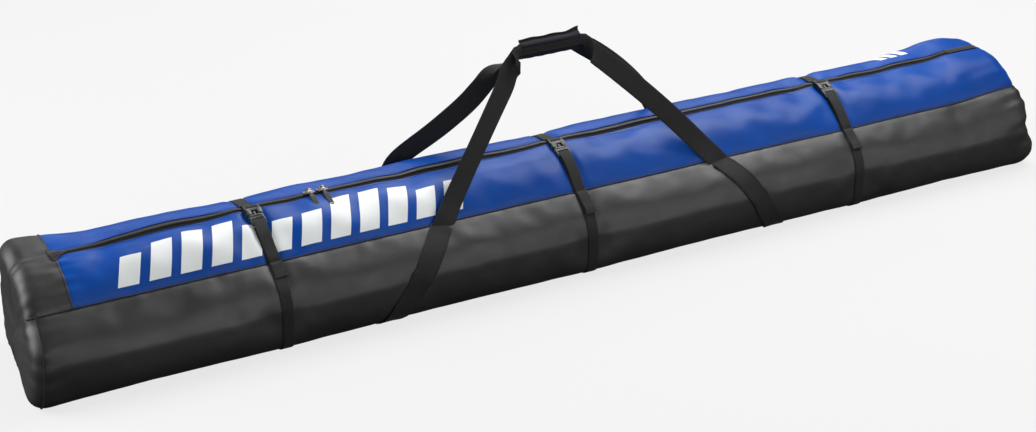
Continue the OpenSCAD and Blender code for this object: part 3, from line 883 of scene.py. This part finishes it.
SKIN_T = 0.0016
ROW_MID = (ROW_X[:-1] + ROW_X[1:]) / 2
IN_COL = np.arange(COLS)
IS_FRONT, IS_SHELL, IS_REAR = IN_COL < JF, (IN_COL >= JF) & (IN_COL < JR), (IN_COL >= JR) & (IN_COL < JZ)
LEFT_FACE = (np.arange(ROWS - 1) < FINE * (FACE_RINGS + 3))[:, None]
RIGHT_FACE = (np.arange(ROWS - 1) >= ROWS - 1 - FINE * (FACE_RINGS + 1))[:, None]


def skin_piece(name, mask, material, slot, thick=SKIN_T, lift=0.0):
    obj = cloth_piece(name, SKIN, SKIN_UV, material, thick, mask, True, lift, SKIN_N)
    return settle(obj)


def to_flap(obj):
    """Bakes the piece's placement into its mesh."""
    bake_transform(obj)
    return obj


def make_shell():
    along = ~LEFT_FACE & ~RIGHT_FACE
    above = ~IS_SHELL[None] & along
    black, blue = (BLACK, "shell_black"), (BLUE, "top_blue")
    fixed = (
        ("lower_shell_cloth", along & IS_SHELL[None], black, "lower_shell", (0.56, 1.90), "base_foam", None),
        (
            "left_cap_cloth", LEFT_FACE | (above & (ROW_MID < PANEL_X0)[:, None]),
            black, "left_end_cap", (0.28, 0.40), "left_end_foam", 0.085,
        ),
        (
            "right_end_cloth", RIGHT_FACE & np.ones((1, COLS), bool),
            black, "right_end_panel", (0.26, 0.20), "right_end_foam", 0.034,
        ),
        (
            "right_top_cloth", above & (ROW_MID > PANEL_X1)[:, None],
            blue, "right_end_top", (0.25, 0.09), "right_end_foam", None,
        ),
    )
    for name, mask, finish, node, flat, foam, area in fixed:
        piece = skin_piece(name, mask, *finish)
        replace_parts(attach(piece, "shell"), node)
    for flap, cols, rests in (("front", IS_FRONT, "front_top_panel"), ("rear", IS_REAR, "rear_top_panel")):
        for half, side in (("left", ROW_MID < 0), ("right", ROW_MID > 0)):
            mask = (side & (ROW_MID > PANEL_X0) & (ROW_MID < PANEL_X1))[:, None] & cols[None]
            panel = skin_piece(f"{flap}_panel_{half}", mask, BLUE, "top_blue")
            to_flap(panel)
            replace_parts(panel, rests)


make_shell()


PRINT_SLANT, PRINT_DROP = 0.020, 0.115
PRINT_COLS, PRINT_STEP = 26, 0.0035
BARS, BARS_X0, BARS_X1, BAR_SHARE, BAR_FOOT = 12, -0.806, -0.190, 0.68, 0.86


def print_bar(name, x0, width, top, foot, j_near, j_far):
    """A slanted bar between the shares top and foot of the way from the ring place j_near to j_far."""
    rows = max(3, math.ceil(width / PRINT_STEP))
    grid = np.zeros((rows, PRINT_COLS, 3))
    normal = np.zeros_like(grid)
    uv = np.zeros((rows, PRINT_COLS, 2))
    for r, c in np.ndindex(rows, PRINT_COLS):
        s = top + (foot - top) * c / (PRINT_COLS - 1)
        x = x0 + width * r / (rows - 1) + PRINT_SLANT * (1 - 2 * s)
        grid[r, c], normal[r, c] = on_skin(x, j_near + (j_far - j_near) * s, 0.0004)
        uv[r, c] = (x, s * PRINT_DROP)
    return settle(cloth_piece(name, grid, uv, PRINT, 0.0003, normals=normal))


def make_print():
    """A generic white print on the front panel: slanted bars under a skyline, and three at the rear right."""
    pitch = (BARS_X1 - BARS_X0) / BARS
    for n in range(BARS):
        ridge = 0.5 + 0.5 * math.cos(TAU * (n - 2.4) / 5.4)
        top = 0.40 - 0.24 * ridge - 0.04 * (n % 2)
        bar = print_bar(f"print_bar_{n + 1}", BARS_X0 + n * pitch, pitch * BAR_SHARE, top, BAR_FOOT, 0, JF)
        to_flap(bar)
    for n in range(3):
        bar = print_bar(f"small_print_bar_{n + 1}", 0.722 + 0.024 * n, 0.016, 0.16, 0.42, JZ, JR)
        to_flap(bar)


make_print()


def make_lining():
    """The lining hangs inside the shell and covers the foam, and lies slack in its corners."""
    inset, floor_z = 0.0042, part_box("lining")[0].z
    x_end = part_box("lining")[1].x
    source = COARSE - normals_of(COARSE, True) * inset
    grid = source[FACE_RINGS + 1 : -(FACE_RINGS + 1)].copy()
    y_wall = 0.95 * HALF_W
    grid[..., 0] = np.clip(grid[..., 0], -x_end, x_end)
    grid[..., 1] = np.clip(grid[..., 1], -y_wall, y_wall)
    grid[..., 2] = np.maximum(grid[..., 2], floor_z + 0.001)
    grid = np.concatenate([grid[:1], grid, grid[-1:]])
    for end, row in ((0, 1), (-1, -2)):
        grid[end] = (grid[row, 0, 0], 0, floor_z + 0.03)
    cols = grid.shape[1]
    uv = np.stack(np.meshgrid(grid[:, 5, 0], np.arange(cols + 1) * 0.009, indexing="ij"), -1)
    keep = np.zeros((len(grid) - 1, cols), bool)
    keep[1:-1, J_FRONT + 1 : J_REAR - 1] = True
    keep[[0, -1], J_FRONT:J_REAR] = True
    lining = cloth_piece("lining_cloth", grid, uv, LINING, 0.0006, keep, True)
    settle(lining, "shell", "lining")


make_lining()

# ------------------------------------------------------------------ piping, welts and stitches


PIPING_R, WELT_R, EDGE_R = 0.0017, 0.0015, 0.0011


def make_seams():
    """Piping in the two long seams, a welt round each end's lower part and the cap's turned edge."""
    rows = np.flatnonzero(BODY_ROWS)
    for name, j in (("front", JF), ("rear", JR)):
        path = SKIN[rows, j] - SKIN_N[rows, j] * 0.0002
        cord = tube(f"{name}_piping", path, PIPING_R, BINDING)
        settle(cord, "shell", f"{name}_seam_piping")
    for name, row in (("left", FINE * (FACE_RINGS + 3)), ("right", ROWS - 1 - FINE * (FACE_RINGS + 1))):
        path = SKIN[row, JF : JR + 1] + SKIN_N[row, JF : JR + 1] * 0.0003
        path[:, 2] = np.maximum(path[:, 2], WELT_R + 0.0001)
        settle(tube(f"{name}_welt", path, WELT_R, BINDING), "shell", f"{name}_end_welt")
    row = int(np.argmin(np.abs(ROW_X - PANEL_X0)))
    cols = np.r_[JR:COLS, 0 : JF + 1]
    path = SKIN[row, cols] + SKIN_N[row, cols] * 0.0004
    settle(tube("cap_seam_edge", path, EDGE_R, BLACK), "shell")


def stitch_row(name, points, normals, material, length=0.0026, pitch=0.0042, width=0.0007):
    """A row of stitches along a line of points: a small arched bar for each."""
    run = run_of(points)
    made_points, faces, uvs = [], [], []
    for n in range(int((run[-1] - length) / pitch)):
        ends = [n * pitch + f * length for f in (0, 0.3, 0.7, 1)]
        line = np.array([place_at(e, run, points) for e in ends])
        up = unit(place_at(ends[1], run, normals))
        side = unit(np.cross(line[-1] - line[0], up)) * width / 2
        base = len(made_points)
        for p, lift in zip(line, (-0.0001, 0.0005, 0.0005, -0.0001)):
            made_points += [p - side, p + up * lift + up * 0.0002, p + side]
        for i in range(3):
            for k in (0, 1):
                a = base + 3 * i + k
                faces.append([a, a + 1, a + 4, a + 3])
                uvs += [(0, 0), (0, width), (length, width), (length, 0)]
        faces.append([base, base + 3, base + 6, base + 9, base + 11, base + 8, base + 5, base + 2])
        uvs += [(0, 0)] * 8
        for quad in ([base + 2, base + 1, base], [base + 9, base + 10, base + 11]):
            faces.append(quad)
            uvs += [(0, 0)] * 3
    return settle(finish_mesh(name, made_points, faces, uvs, material))


def make_stitches():
    """Top stitching on the panels, beside the long seams and the zip."""
    rows = np.flatnonzero((ROW_X >= PANEL_X0 + 0.002) & (ROW_X <= PANEL_X1 - 0.002))
    lines = (
        ("front", JF - 1.0, "front_flap"),
        ("front_zip", 0.8, "front_flap"),
        ("rear", JR + 1.0, "rear_flap"),
        ("rear_zip", JZ - 0.8, "rear_flap"),
    )
    for name, j, flap in lines:
        low, share = int(j), j - int(j)
        points = SKIN[:, low] * (1 - share) + SKIN[:, low + 1] * share
        normals = SKIN_N[:, low]
        for half in ("left", "right"):
            part = rows[(ROW_X[rows] <= 0.0) if half == "left" else (ROW_X[rows] >= 0.0)]
            row = stitch_row(f"{name}_stitches_{half}", points[part], normals[part], THREAD_BLUE)
            to_flap(row)


make_seams()
make_stitches()

# ------------------------------------------------------------------ zip


TAPE_UNDER = ((2, 0.0030), (1, 0.0024))  # columns from the panel's edge, and the depth under its face
TAPE_OPEN = ((0.0005, -0.0022), (0.0025, -0.0002), (0.0070, 0.0006))  # across from the edge, and the rise


def make_zip():
    """Two tapes, each sewn under its panel's edge, and the rows of teeth that meet between them."""
    rows = np.flatnonzero((ROW_X >= PANEL_X0 - 1e-4) & (ROW_X <= PANEL_X1 + 1e-4))
    middle = (SKIN[rows, 0] + SKIN[rows, JZ]) / 2
    for name, first, step in (("front", 0, 1), ("rear", JZ, -1)):
        edge = SKIN[rows, first]
        inward = unit(middle - edge)
        under = [(first + step * k, depth) for k, depth in TAPE_UNDER]
        cols = [SKIN[rows, j] - SKIN_N[rows, j] * depth for j, depth in under]
        cols += [edge + inward * across + np.array([0, 0, rise]) for across, rise in TAPE_OPEN]
        grid = np.stack(cols[::-step], 1)
        uv = np.stack(np.meshgrid(middle[:, 0], np.arange(5) * 0.005, indexing="ij"), -1)
        teeth_line = middle + np.array([0, 0, 0.0006])
        for half, part in (("left", middle[:, 0] <= 0.003), ("right", middle[:, 0] >= -0.003)):
            tape = cloth_piece(f"zip_tape_{name}_{half}", grid[part], uv[part], TAPE, 0.0007)
            settle(to_flap(tape), None, f"zip_tape_{name}")
            teeth = make_teeth(f"zip_teeth_{name}_{half}", teeth_line[part], -step)
            settle(to_flap(teeth), None, f"zip_teeth_{name}")


def make_teeth(name, line, side):
    """One row of coil turns: an arch for each, leaning over the zip's middle from its own side."""
    pitch, long, height, reach = 0.0026, 0.0015, 0.0024, 0.0034
    xs = np.arange(line[0, 0] + pitch, line[-1, 0] - pitch, pitch) + (pitch / 2 if side > 0 else 0)
    points, faces, uvs = [], [], []
    arch = [(reach, 0.0), (reach * 0.92, height * 0.75), (reach * 0.5, height)]
    arch += [(0.0004, height * 0.9), (-0.0006, height * 0.25)]
    for x in xs:
        y, z = np.interp(x, line[:, 0], line[:, 1]), np.interp(x, line[:, 0], line[:, 2])
        base = len(points)
        for dx in (-long / 2, long / 2):
            slope = 0.0005 * (1 if dx > 0 else -1)
            points += [(x + dx + slope * (k / 4), y + side * a, z + b) for k, (a, b) in enumerate(arch)]
        for k in range(4):
            quad = [base + k, base + k + 1, base + 6 + k, base + 5 + k]
            faces.append(quad if side > 0 else quad[::-1])
            uvs += [(0, 0), (0.001, 0), (0.001, 0.001), (0, 0.001)]
        for start in (0, 5):
            ring = [base + start + k for k in range(5)]
            faces.append(ring[::-1] if (start == 0) == (side > 0) else ring)
            uvs += [(0, 0)] * 5
    return finish_mesh(name, points, faces, uvs, COIL)


def make_zip_ends():
    """The winged triangle of cloth over the zip's start, and the small cover over its end."""
    rows = np.linspace(0, 1, 9)
    start_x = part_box("zip_garage")[0].x
    cols = np.linspace(-1, 1, 13)
    grid = np.zeros((len(rows), len(cols), 3))
    for i, r in enumerate(rows):
        for k, c in enumerate(cols):
            wing = 0.017 * (1 - r) ** 1.4 + 0.0022
            x = start_x - 0.001 + 0.034 * r + 0.004 * abs(c) * (1 - r)
            y = zip_y(x) - c * wing
            z = zip_top(x, y) + 0.0026 - 0.0008 * abs(c) + 0.0010 * math.sin(5 * r) * (1 - abs(c))
            grid[i, len(cols) - 1 - k] = (x, y, z)
    garage = cloth_piece("zip_garage_cloth", grid[:, ::-1], grid[..., :2], BINDING, 0.0010)
    settle(garage, "shell", "zip_garage")
    xs = np.linspace(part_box("zip_end_stop")[0].x, HALF_L - 0.024, 16)
    offs = np.linspace(-0.0085, 0.0085, 9)
    sides = [[(x, zip_y(x) + off, 0.0030 - 12 * off * off) for off in offs] for x in xs]
    grid = np.array([[(x, y, zip_top(x, y) + lift) for x, y, lift in row] for row in sides])
    stop = cloth_piece("zip_end_cover", grid[:, ::-1], grid[..., :2], BINDING, 0.0010)
    settle(stop, "shell", "zip_end_stop")


def zip_y(x):
    """Where the zip runs, across the bag, at a place along it."""
    return (on_skin(x, 0)[0][1] + on_skin(x, JZ)[0][1]) / 2


def zip_top(x, y):
    """Height of the bag's top at a place near the zip."""
    cols = list(range(JZ - 8, COLS)) + list(range(0, 9))
    points = np.array([on_skin(x, j)[0] for j in cols])
    order = np.argsort(points[:, 1])
    return float(np.interp(y, points[order, 1], points[order, 2]))


make_zip()
make_zip_ends()

# ------------------------------------------------------------------ CAD pieces with moulded edges


EDGE_ANGLE = 0.6  # edges sharper than this, in radians, are rounded


def refined(node, material, bevel):
    """A copy of a CAD node with rounded edges and a better material, on the node's own body."""
    source = NODES[node]
    mesh = bpy.data.meshes.new(f"{node}_moulded")
    work = bmesh.new()
    work.from_mesh(source.data)
    bmesh.ops.remove_doubles(work, verts=work.verts, dist=2e-6)
    bmesh.ops.dissolve_limit(work, angle_limit=math.radians(3), verts=work.verts, edges=work.edges)
    sharp = [e for e in work.edges if len(e.link_faces) == 2 and e.calc_face_angle(0) > EDGE_ANGLE]
    rounding = {"offset": bevel, "segments": 2, "profile": 0.5, "affect": "EDGES", "clamp_overlap": True}
    bmesh.ops.bevel(work, geom=sharp, **rounding)
    bmesh.ops.triangulate(work, faces=[f for f in work.faces if len(f.verts) > 4])
    for f in work.faces:
        f.smooth = True
    work.to_mesh(mesh)
    work.free()
    mesh.materials.append(material)
    obj = bpy.data.objects.new(f"{node}_moulded", mesh)
    bpy.context.scene.collection.objects.link(obj)
    mesh.set_sharp_from_angle(angle=math.radians(32))
    return settle(obj, source["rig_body"], node)


def make_hardware():
    for s in STRAPS:
        for part, bevel in (("socket", 0.0006), ("plug", 0.0005), ("prongs", 0.0003)):
            refined(f"buckle_{s}_{part}", PLASTIC, bevel)
    for s in ("left", "right"):
        refined(f"slider_{s}", METAL, 0.0003)
        refined(f"puller_{s}", METAL, 0.00025)
        make_tab(s)


def make_tab(s):
    """A ribbed rubber pull tab that hangs from its slider's link down the front slope."""
    low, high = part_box(f"pull_tab_{s}")
    x = (low.x + high.x) / 2
    slope = math.atan2(ROD_Z - low.z - 0.001, -low.y)
    along = np.array([0, -math.cos(slope), -math.sin(slope)])
    out = np.array([0, -math.sin(slope), math.cos(slope)])
    start = 0.0088
    length = -low.y / math.cos(slope) - start - 0.0005
    rod = np.array([x, 0, ROD_Z])
    count, ribs = 64, 8
    share = np.linspace(0, 1, count)
    centre = [rod + along * (start + length * t) for t in share]
    ends = np.sqrt(np.clip(1 - ((share - 0.5) * 2) ** 10, 0.05, 1))
    narrow = 0.62 + 0.38 * smooth(0.0, 0.28, share)
    rib = 0.5 + 0.5 * np.cos(TAU * ribs * np.clip((share - 0.3) / 0.62, 0, 1))
    rib = np.where((share > 0.3) & (share < 0.92), rib, 1)
    face, width = np.broadcast_to(out, (count, 3)), (high.x - low.x) * ends * narrow
    tab = ribbon(f"pull_tab_{s}_rubber", centre, face, width, 0.0022 + 0.0012 * rib, RUBBER)
    settle(tab, f"puller_{s}_body", f"pull_tab_{s}")


make_hardware()

# ------------------------------------------------------------------ compression straps

SLOPE_U = -np.array(JOINTS["buckle_left_release"]["axis"])
SLOPE_N = np.array([0, -SLOPE_U[2], SLOPE_U[1]])


BUCKLE_MIDDLE = np.array([0, -0.026, 0.1924])
BAR_H, PLUG_BAR, SOCKET_BAR, BAR_R = 0.0048, -0.0125, 0.017, 0.0014


def bar_at(up):
    """A webbing bar of the buckle on the bag's middle, by its place up the front slope."""
    return BUCKLE_MIDDLE + SLOPE_U * up + SLOPE_N * BAR_H


def eye_path(bar, toward):
    """Webbing round a bar: from under it, round its far side, to on top of it."""
    radius = BAR_R + 0.0004 + WEB_T / 2
    angles = np.radians(np.linspace(-80, 90, 12))
    points = [bar + SLOPE_N * radius * math.sin(a) + toward * radius * math.cos(a) for a in angles]
    normals = [SLOPE_N * math.sin(a) + toward * math.cos(a) for a in angles]
    return points, normals


def column_of(y_wanted, x, front):
    """Ring place on the front or rear panel whose y is y_wanted."""
    js = np.arange(0, JF + 1) if front else np.arange(JR, JZ + 1)
    ys = np.array([on_skin(x, j)[0][1] for j in js])
    order = np.argsort(ys)
    return float(np.interp(y_wanted, ys[order], js[order]))


TAIL_BELOW = {"left": 0.028, "middle": 0.044, "right": 0.042}
SHELL_STEP = np.linalg.norm(np.diff(SKIN[ROWS // 2, JF : JF + 12], axis=0), axis=1).mean()


def make_strap(s, x):
    """One compression strap: under the bag, up the front panel, over the rear panel, and its free end."""
    along_x = np.array([x, 0, 0])
    lift = 0.0004 + WEB_T / 2
    # under the bag
    js = np.linspace(JF, JR, 90)
    path, normal = skin_path([x] * len(js), js, [lift] * len(js))
    path[:, 2] = np.maximum(path[:, 2], WEB_T / 2)
    under = ribbon(f"strap_{s}_under_web", path, normal, STRAP_W, WEB_T, WEBBING)
    settle(under, "shell", f"strap_{s}_under")
    # standing part on the front panel
    plug = bar_at(PLUG_BAR) + along_x
    top_j = column_of(plug[1] - 0.006, x, True)
    js = np.linspace(top_j, JF, 26)
    path, normal = skin_path(x - 0.0012 + 0 * js, js, lift + 0.0022 * np.exp(-(js - top_j) / 2.5))
    front = ribbon(f"strap_{s}_front_web", path, normal, STRAP_W, WEB_T, WEBBING)
    settle(front, "front_flap", f"strap_{s}_front")
    # rear part, over the top and round the socket's bar
    socket = bar_at(SOCKET_BAR) + along_x
    js = np.linspace(JR, COLS - 1, 44)
    path, normal = skin_path([x] * len(js), js, lift + 0.0022 * smooth(JZ - 8, JZ, js))
    top = socket + SLOPE_N * (BAR_R + 0.0004 + WEB_T / 2)
    eye, eye_n = eye_path(socket, -SLOPE_U)
    path = np.concatenate([path[:-3], [top * 0.5 + path[-3] * 0.5 + SLOPE_N * 0.0012], eye[::-1]])
    normal = np.concatenate([normal[:-3], [SLOPE_N], eye_n[::-1]])
    rear = ribbon(f"strap_{s}_rear_web", path, normal, STRAP_W, WEB_T, WEBBING)
    settle(rear, "rear_flap", f"strap_{s}_rear")
    # free end, round the plug's bar and down over the standing part
    eye, eye_n = eye_path(plug, SLOPE_U)
    start_j = column_of(plug[1] - 0.010, x, True)
    end_j = JF + TAIL_BELOW[s] / SHELL_STEP
    js = np.linspace(start_j, end_j, 40)
    share = (js - start_j) / (end_j - start_j)
    lifts = 0.0078 - 0.0042 * smooth(0, 0.5, share) + 0.0012 * np.sin(share * 9 + x * 7) * share
    path, normal = skin_path(x + 0.0035 * share**1.5, js, lifts)
    path, normal = np.concatenate([eye, path]), np.concatenate([eye_n, normal])
    width = STRAP_W * np.r_[np.ones(len(eye)), 1 + 0.09 * smooth(0.9, 1.0, share)]
    thick = WEB_T * np.r_[np.ones(len(eye)), 1 + 0.9 * smooth(0.86, 0.90, share)]
    tail = ribbon(f"strap_{s}_tail_web", path, normal, width, thick, WEBBING)
    settle(tail, f"strap_{s}_free_end", f"strap_{s}_tail")


for strap, strap_x in zip(STRAPS, STRAP_X):
    make_strap(strap, strap_x)

# ------------------------------------------------------------------ carry handles

LEAN = math.atan2(GRIP_Z - HINGE_Z, GRIP_Y - HINGE_Y)
GRIP_R = (GRIP_Z - HINGE_Z) / math.sin(LEAN)
GRIP_SHIFT = 0.013
SEAM_LEG_X = (-0.263, 0.279)
LEG_POINTS, GRIP_POINTS, LEG_START = 46, 12, -0.045


def handle_path(name):
    """Centre line of a loop in its plane: x along the bag, r up from its seam. The rear one is slack."""
    slack = 1.0 if name == "rear" else 0.0
    tops = (GRIP_X0 + GRIP_SHIFT - 0.004, GRIP_X1 + GRIP_SHIFT + 0.004)
    legs = []
    for foot, top, s in ((SEAM_LEG_X[0], tops[0], -1), (SEAM_LEG_X[1], tops[1], 1)):
        t = np.linspace(LEG_START, 1, LEG_POINTS)
        x = foot + (top - foot) * t
        r = (GRIP_R - 0.002) * t + 0.004 * np.sin(math.pi * np.clip(t, 0, 1))
        if s < 0:
            x -= slack * (0.034 * bell(t, 0.2, 0.16) - 0.008 * bell(t, 0.6, 0.14))
            x -= (1 - slack) * 0.006 * bell(t, 0.90, 0.06)
        else:
            x += (0.004 + 0.026 * slack) * np.sin(math.pi * np.clip(t, 0, 1) ** 0.8)
        r -= 0.002 * smooth(0.82, 1.0, t)
        legs.append(np.stack([x, r], -1))
    x = np.linspace(GRIP_X0 + GRIP_SHIFT, GRIP_X1 + GRIP_SHIFT, GRIP_POINTS)
    middle = np.stack([x, np.full(GRIP_POINTS, GRIP_R - 0.004)], -1)
    return np.concatenate([legs[0], middle, legs[1][::-1]])


def make_handle(name, sign):
    """A carry loop: flat webbing that twists up its legs and folds in half into the grip."""
    flat, leg, grip = handle_path(name), LEG_POINTS, GRIP_POINTS
    up = np.array([0, -sign * math.cos(LEAN), math.sin(LEAN)])
    face = np.array([0, sign * math.sin(LEAN), math.cos(LEAN)])
    hinge = np.array([0, sign * abs(HINGE_Y), HINGE_Z])
    t = np.r_[np.linspace(LEG_START, 1, leg), np.ones(grip), np.linspace(1, LEG_START, leg)]
    lie = np.sin(math.pi * np.clip(t, 0, 1))
    sides = np.r_[np.ones(leg), np.zeros(grip), -np.ones(leg)]
    twist = (0.22 if name == "front" else 0.75) * lie * sides
    centre = hinge + np.stack([flat[:, 0], 0 * t, 0 * t], -1) + flat[:, 1:] * up
    proud = 0.003 * lie**2 + 0.0012 + 0.0042 * bell(t, 0.02, 0.07)
    centre = centre + face * proud[:, None]
    normal = face * np.cos(twist)[:, None] + np.array([1.0, 0, 0]) * np.sin(twist)[:, None]
    late = np.r_[np.full(leg, 0.92 if name == "front" else 0.72), np.zeros(grip), np.full(leg, 0.90)]
    fold = np.where(t >= 1, 1, smooth(0, 1, (t - late) / (0.985 - late)))
    loop = ribbon(f"handle_{name}_web", centre, normal, HANDLE_W - 0.002, 0.0016, WEBBING, fold)
    settle(loop, f"handle_{name}", f"handle_{name}_loop")


def make_handle_base(name, s):
    """Webbing sewn to the shell from the front seam under the base to the rear seam, its legs leaning."""
    js = np.linspace(JF - 0.6, JR + 0.6, 130)
    foot, seam = s * LEG_FOOT, SEAM_LEG_X[0 if s < 0 else 1]
    path, normal = [], []
    lift = 0.0005 + WEB_T / 2
    wall_cols = 0.27 * (JR - JF)
    for j in js:
        rise = max(1 - min(j - JF, JR - j) / wall_cols, 0)
        point, n = on_skin(foot + (seam - foot) * rise, j, lift)
        point[2] = max(point[2], WEB_T / 2)
        path.append(point)
        normal.append(n)
    base = ribbon(f"handle_base_{name}_web", path, normal, HANDLE_W - 0.001, WEB_T, WEBBING)
    settle(base, "shell", f"handle_base_{name}")
    path = np.array(path)
    return path, np.array(normal)


def edge_stitches(name, path, normal):
    """Two rows of stitches along webbing that is sewn to the shell."""
    side = unit(np.cross(np.gradient(path, axis=0), normal))
    for n, s in enumerate((-1, 1)):
        line = path + side * (s * (HANDLE_W / 2 - 0.0035)) + unit(normal) * (WEB_T / 2 + 0.0001)
        label = f"{name}_stitches_{n + 1}"
        row = stitch_row(label, line, normal, THREAD_BLACK, 0.003, 0.0048, 0.0008)
        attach(row, "shell")


make_handle("front", -1)
make_handle("rear", 1)
for base_name, base_side in (("left", -1), ("right", 1)):
    base_path, base_normal = make_handle_base(base_name, base_side)
    for wall, wall_side in (("front", -1), ("rear", 1)):
        part = (base_path[:, 2] > 0.012) & (base_path[:, 1] * wall_side > 0)
        edge_stitches(f"handle_{base_name}_{wall}", base_path[part], base_normal[part])


def make_grip():
    """The padded wrap round both handles, open along its top."""
    half_w, half_h, slot_half = 0.0088, 0.0132, 0.0034
    start = math.asin(slot_half / half_w)
    angles = np.linspace(math.pi / 2 + start, math.pi / 2 + TAU - start, 56)
    xs = np.linspace(GRIP_X0, GRIP_X1, 40) + GRIP_SHIFT
    grid = np.zeros((len(xs), len(angles), 3))
    for i, x in enumerate(xs):
        share = i / (len(xs) - 1)
        end = 1 - 0.05 * (abs(2 * share - 1) ** 8)
        for k, a in enumerate(angles):
            c, s = math.cos(a), math.sin(a)
            y = half_w * np.sign(c) * abs(c) ** 0.72
            z = half_h * np.sign(s) * abs(s) ** 0.72
            ripple = 1 + 0.022 * math.sin(x * 260 + 2 * math.sin(a * 2)) * (0.4 + 0.6 * abs(s))
            ripple += 0.02 * math.sin(a * 5 + x * 60)
            grid[i, k] = (x, y * end * ripple, GRIP_Z + z * end * ripple)
    uv = np.stack(np.meshgrid(xs, np.linspace(0, 0.085, len(angles)), indexing="ij"), -1)
    wrap = cloth_piece("grip_wrap_cloth", grid, uv, GRIP_CLOTH, 0.0018)
    settle(wrap, "handle_front", "grip_wrap")
    make_grip_flap(GRIP_Z + half_h)


FLAP_PROFILE = (
    (-0.0095, -0.0050), (-0.0086, -0.0004), (-0.005, 0.0013), (-0.001, 0.0017),
    (0.002, 0.0020), (0.004, 0.0032), (0.0048, 0.0055),
)


def make_grip_flap(top):
    """The flap over the wrap's top: from the front face, over the opening, to a lip that stands up."""
    profile = [(y, top + z) for y, z in FLAP_PROFILE]
    xs = np.linspace(GRIP_X0 + 0.001, GRIP_X1 + 0.001, 30) + GRIP_SHIFT
    grid = np.zeros((len(xs), len(profile), 3))
    for i, x in enumerate(xs):
        share = i / (len(xs) - 1)
        tip = 0.0045 * smooth(0.82, 1.0, share)
        for k, (y, z) in enumerate(profile):
            lip = k / (len(profile) - 1)
            wave = 0.0007 * math.sin(x * 150 + 1) * lip
            grid[i, k] = (x + tip * 0.8 * lip, y, z + tip * lip + wave)
    uv = np.stack(np.meshgrid(xs, np.linspace(0, 0.025, len(profile)), indexing="ij"), -1)
    settle(tube("grip_flap_binding", grid[:, -1], 0.0011, FLAP_CLOTH), "wrap_flap")
    flap = cloth_piece("grip_flap_cloth", grid[:, ::-1], uv, GRIP_CLOTH, 0.0016)
    settle(flap, "wrap_flap", "grip_wrap_flap")


make_grip()

# ------------------------------------------------------------------ foam

PAD_T = 0.006


def make_foam():
    """Closed-cell pads just inside the base and both end faces."""
    on_base = (COARSE[len(COARSE) // 2, :, 2] < BASE_Z + 1e-3).repeat(FINE)
    row = np.arange(ROWS - 1)
    base_rows = (row >= FINE * (FACE_RINGS + 5)) & (row < ROWS - 1 - FINE * (FACE_RINGS + 5))
    everywhere = np.ones(COLS, bool)
    for name, node, rows, cols, depth in (
        ("base_pad", "base_foam", base_rows, on_base, 0.0024),
        ("left_end_pad", "left_end_foam", row < FINE * FACE_RINGS, everywhere, 0.0022),
        ("right_end_pad", "right_end_foam", row >= ROWS - 1 - FINE * FACE_RINGS, everywhere, 0.0022),
    ):
        pad = skin_piece(name, rows[:, None] & cols[None], FOAM, "foam_grey", PAD_T, -depth)
        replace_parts(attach(pad, "shell"), node)


make_foam()
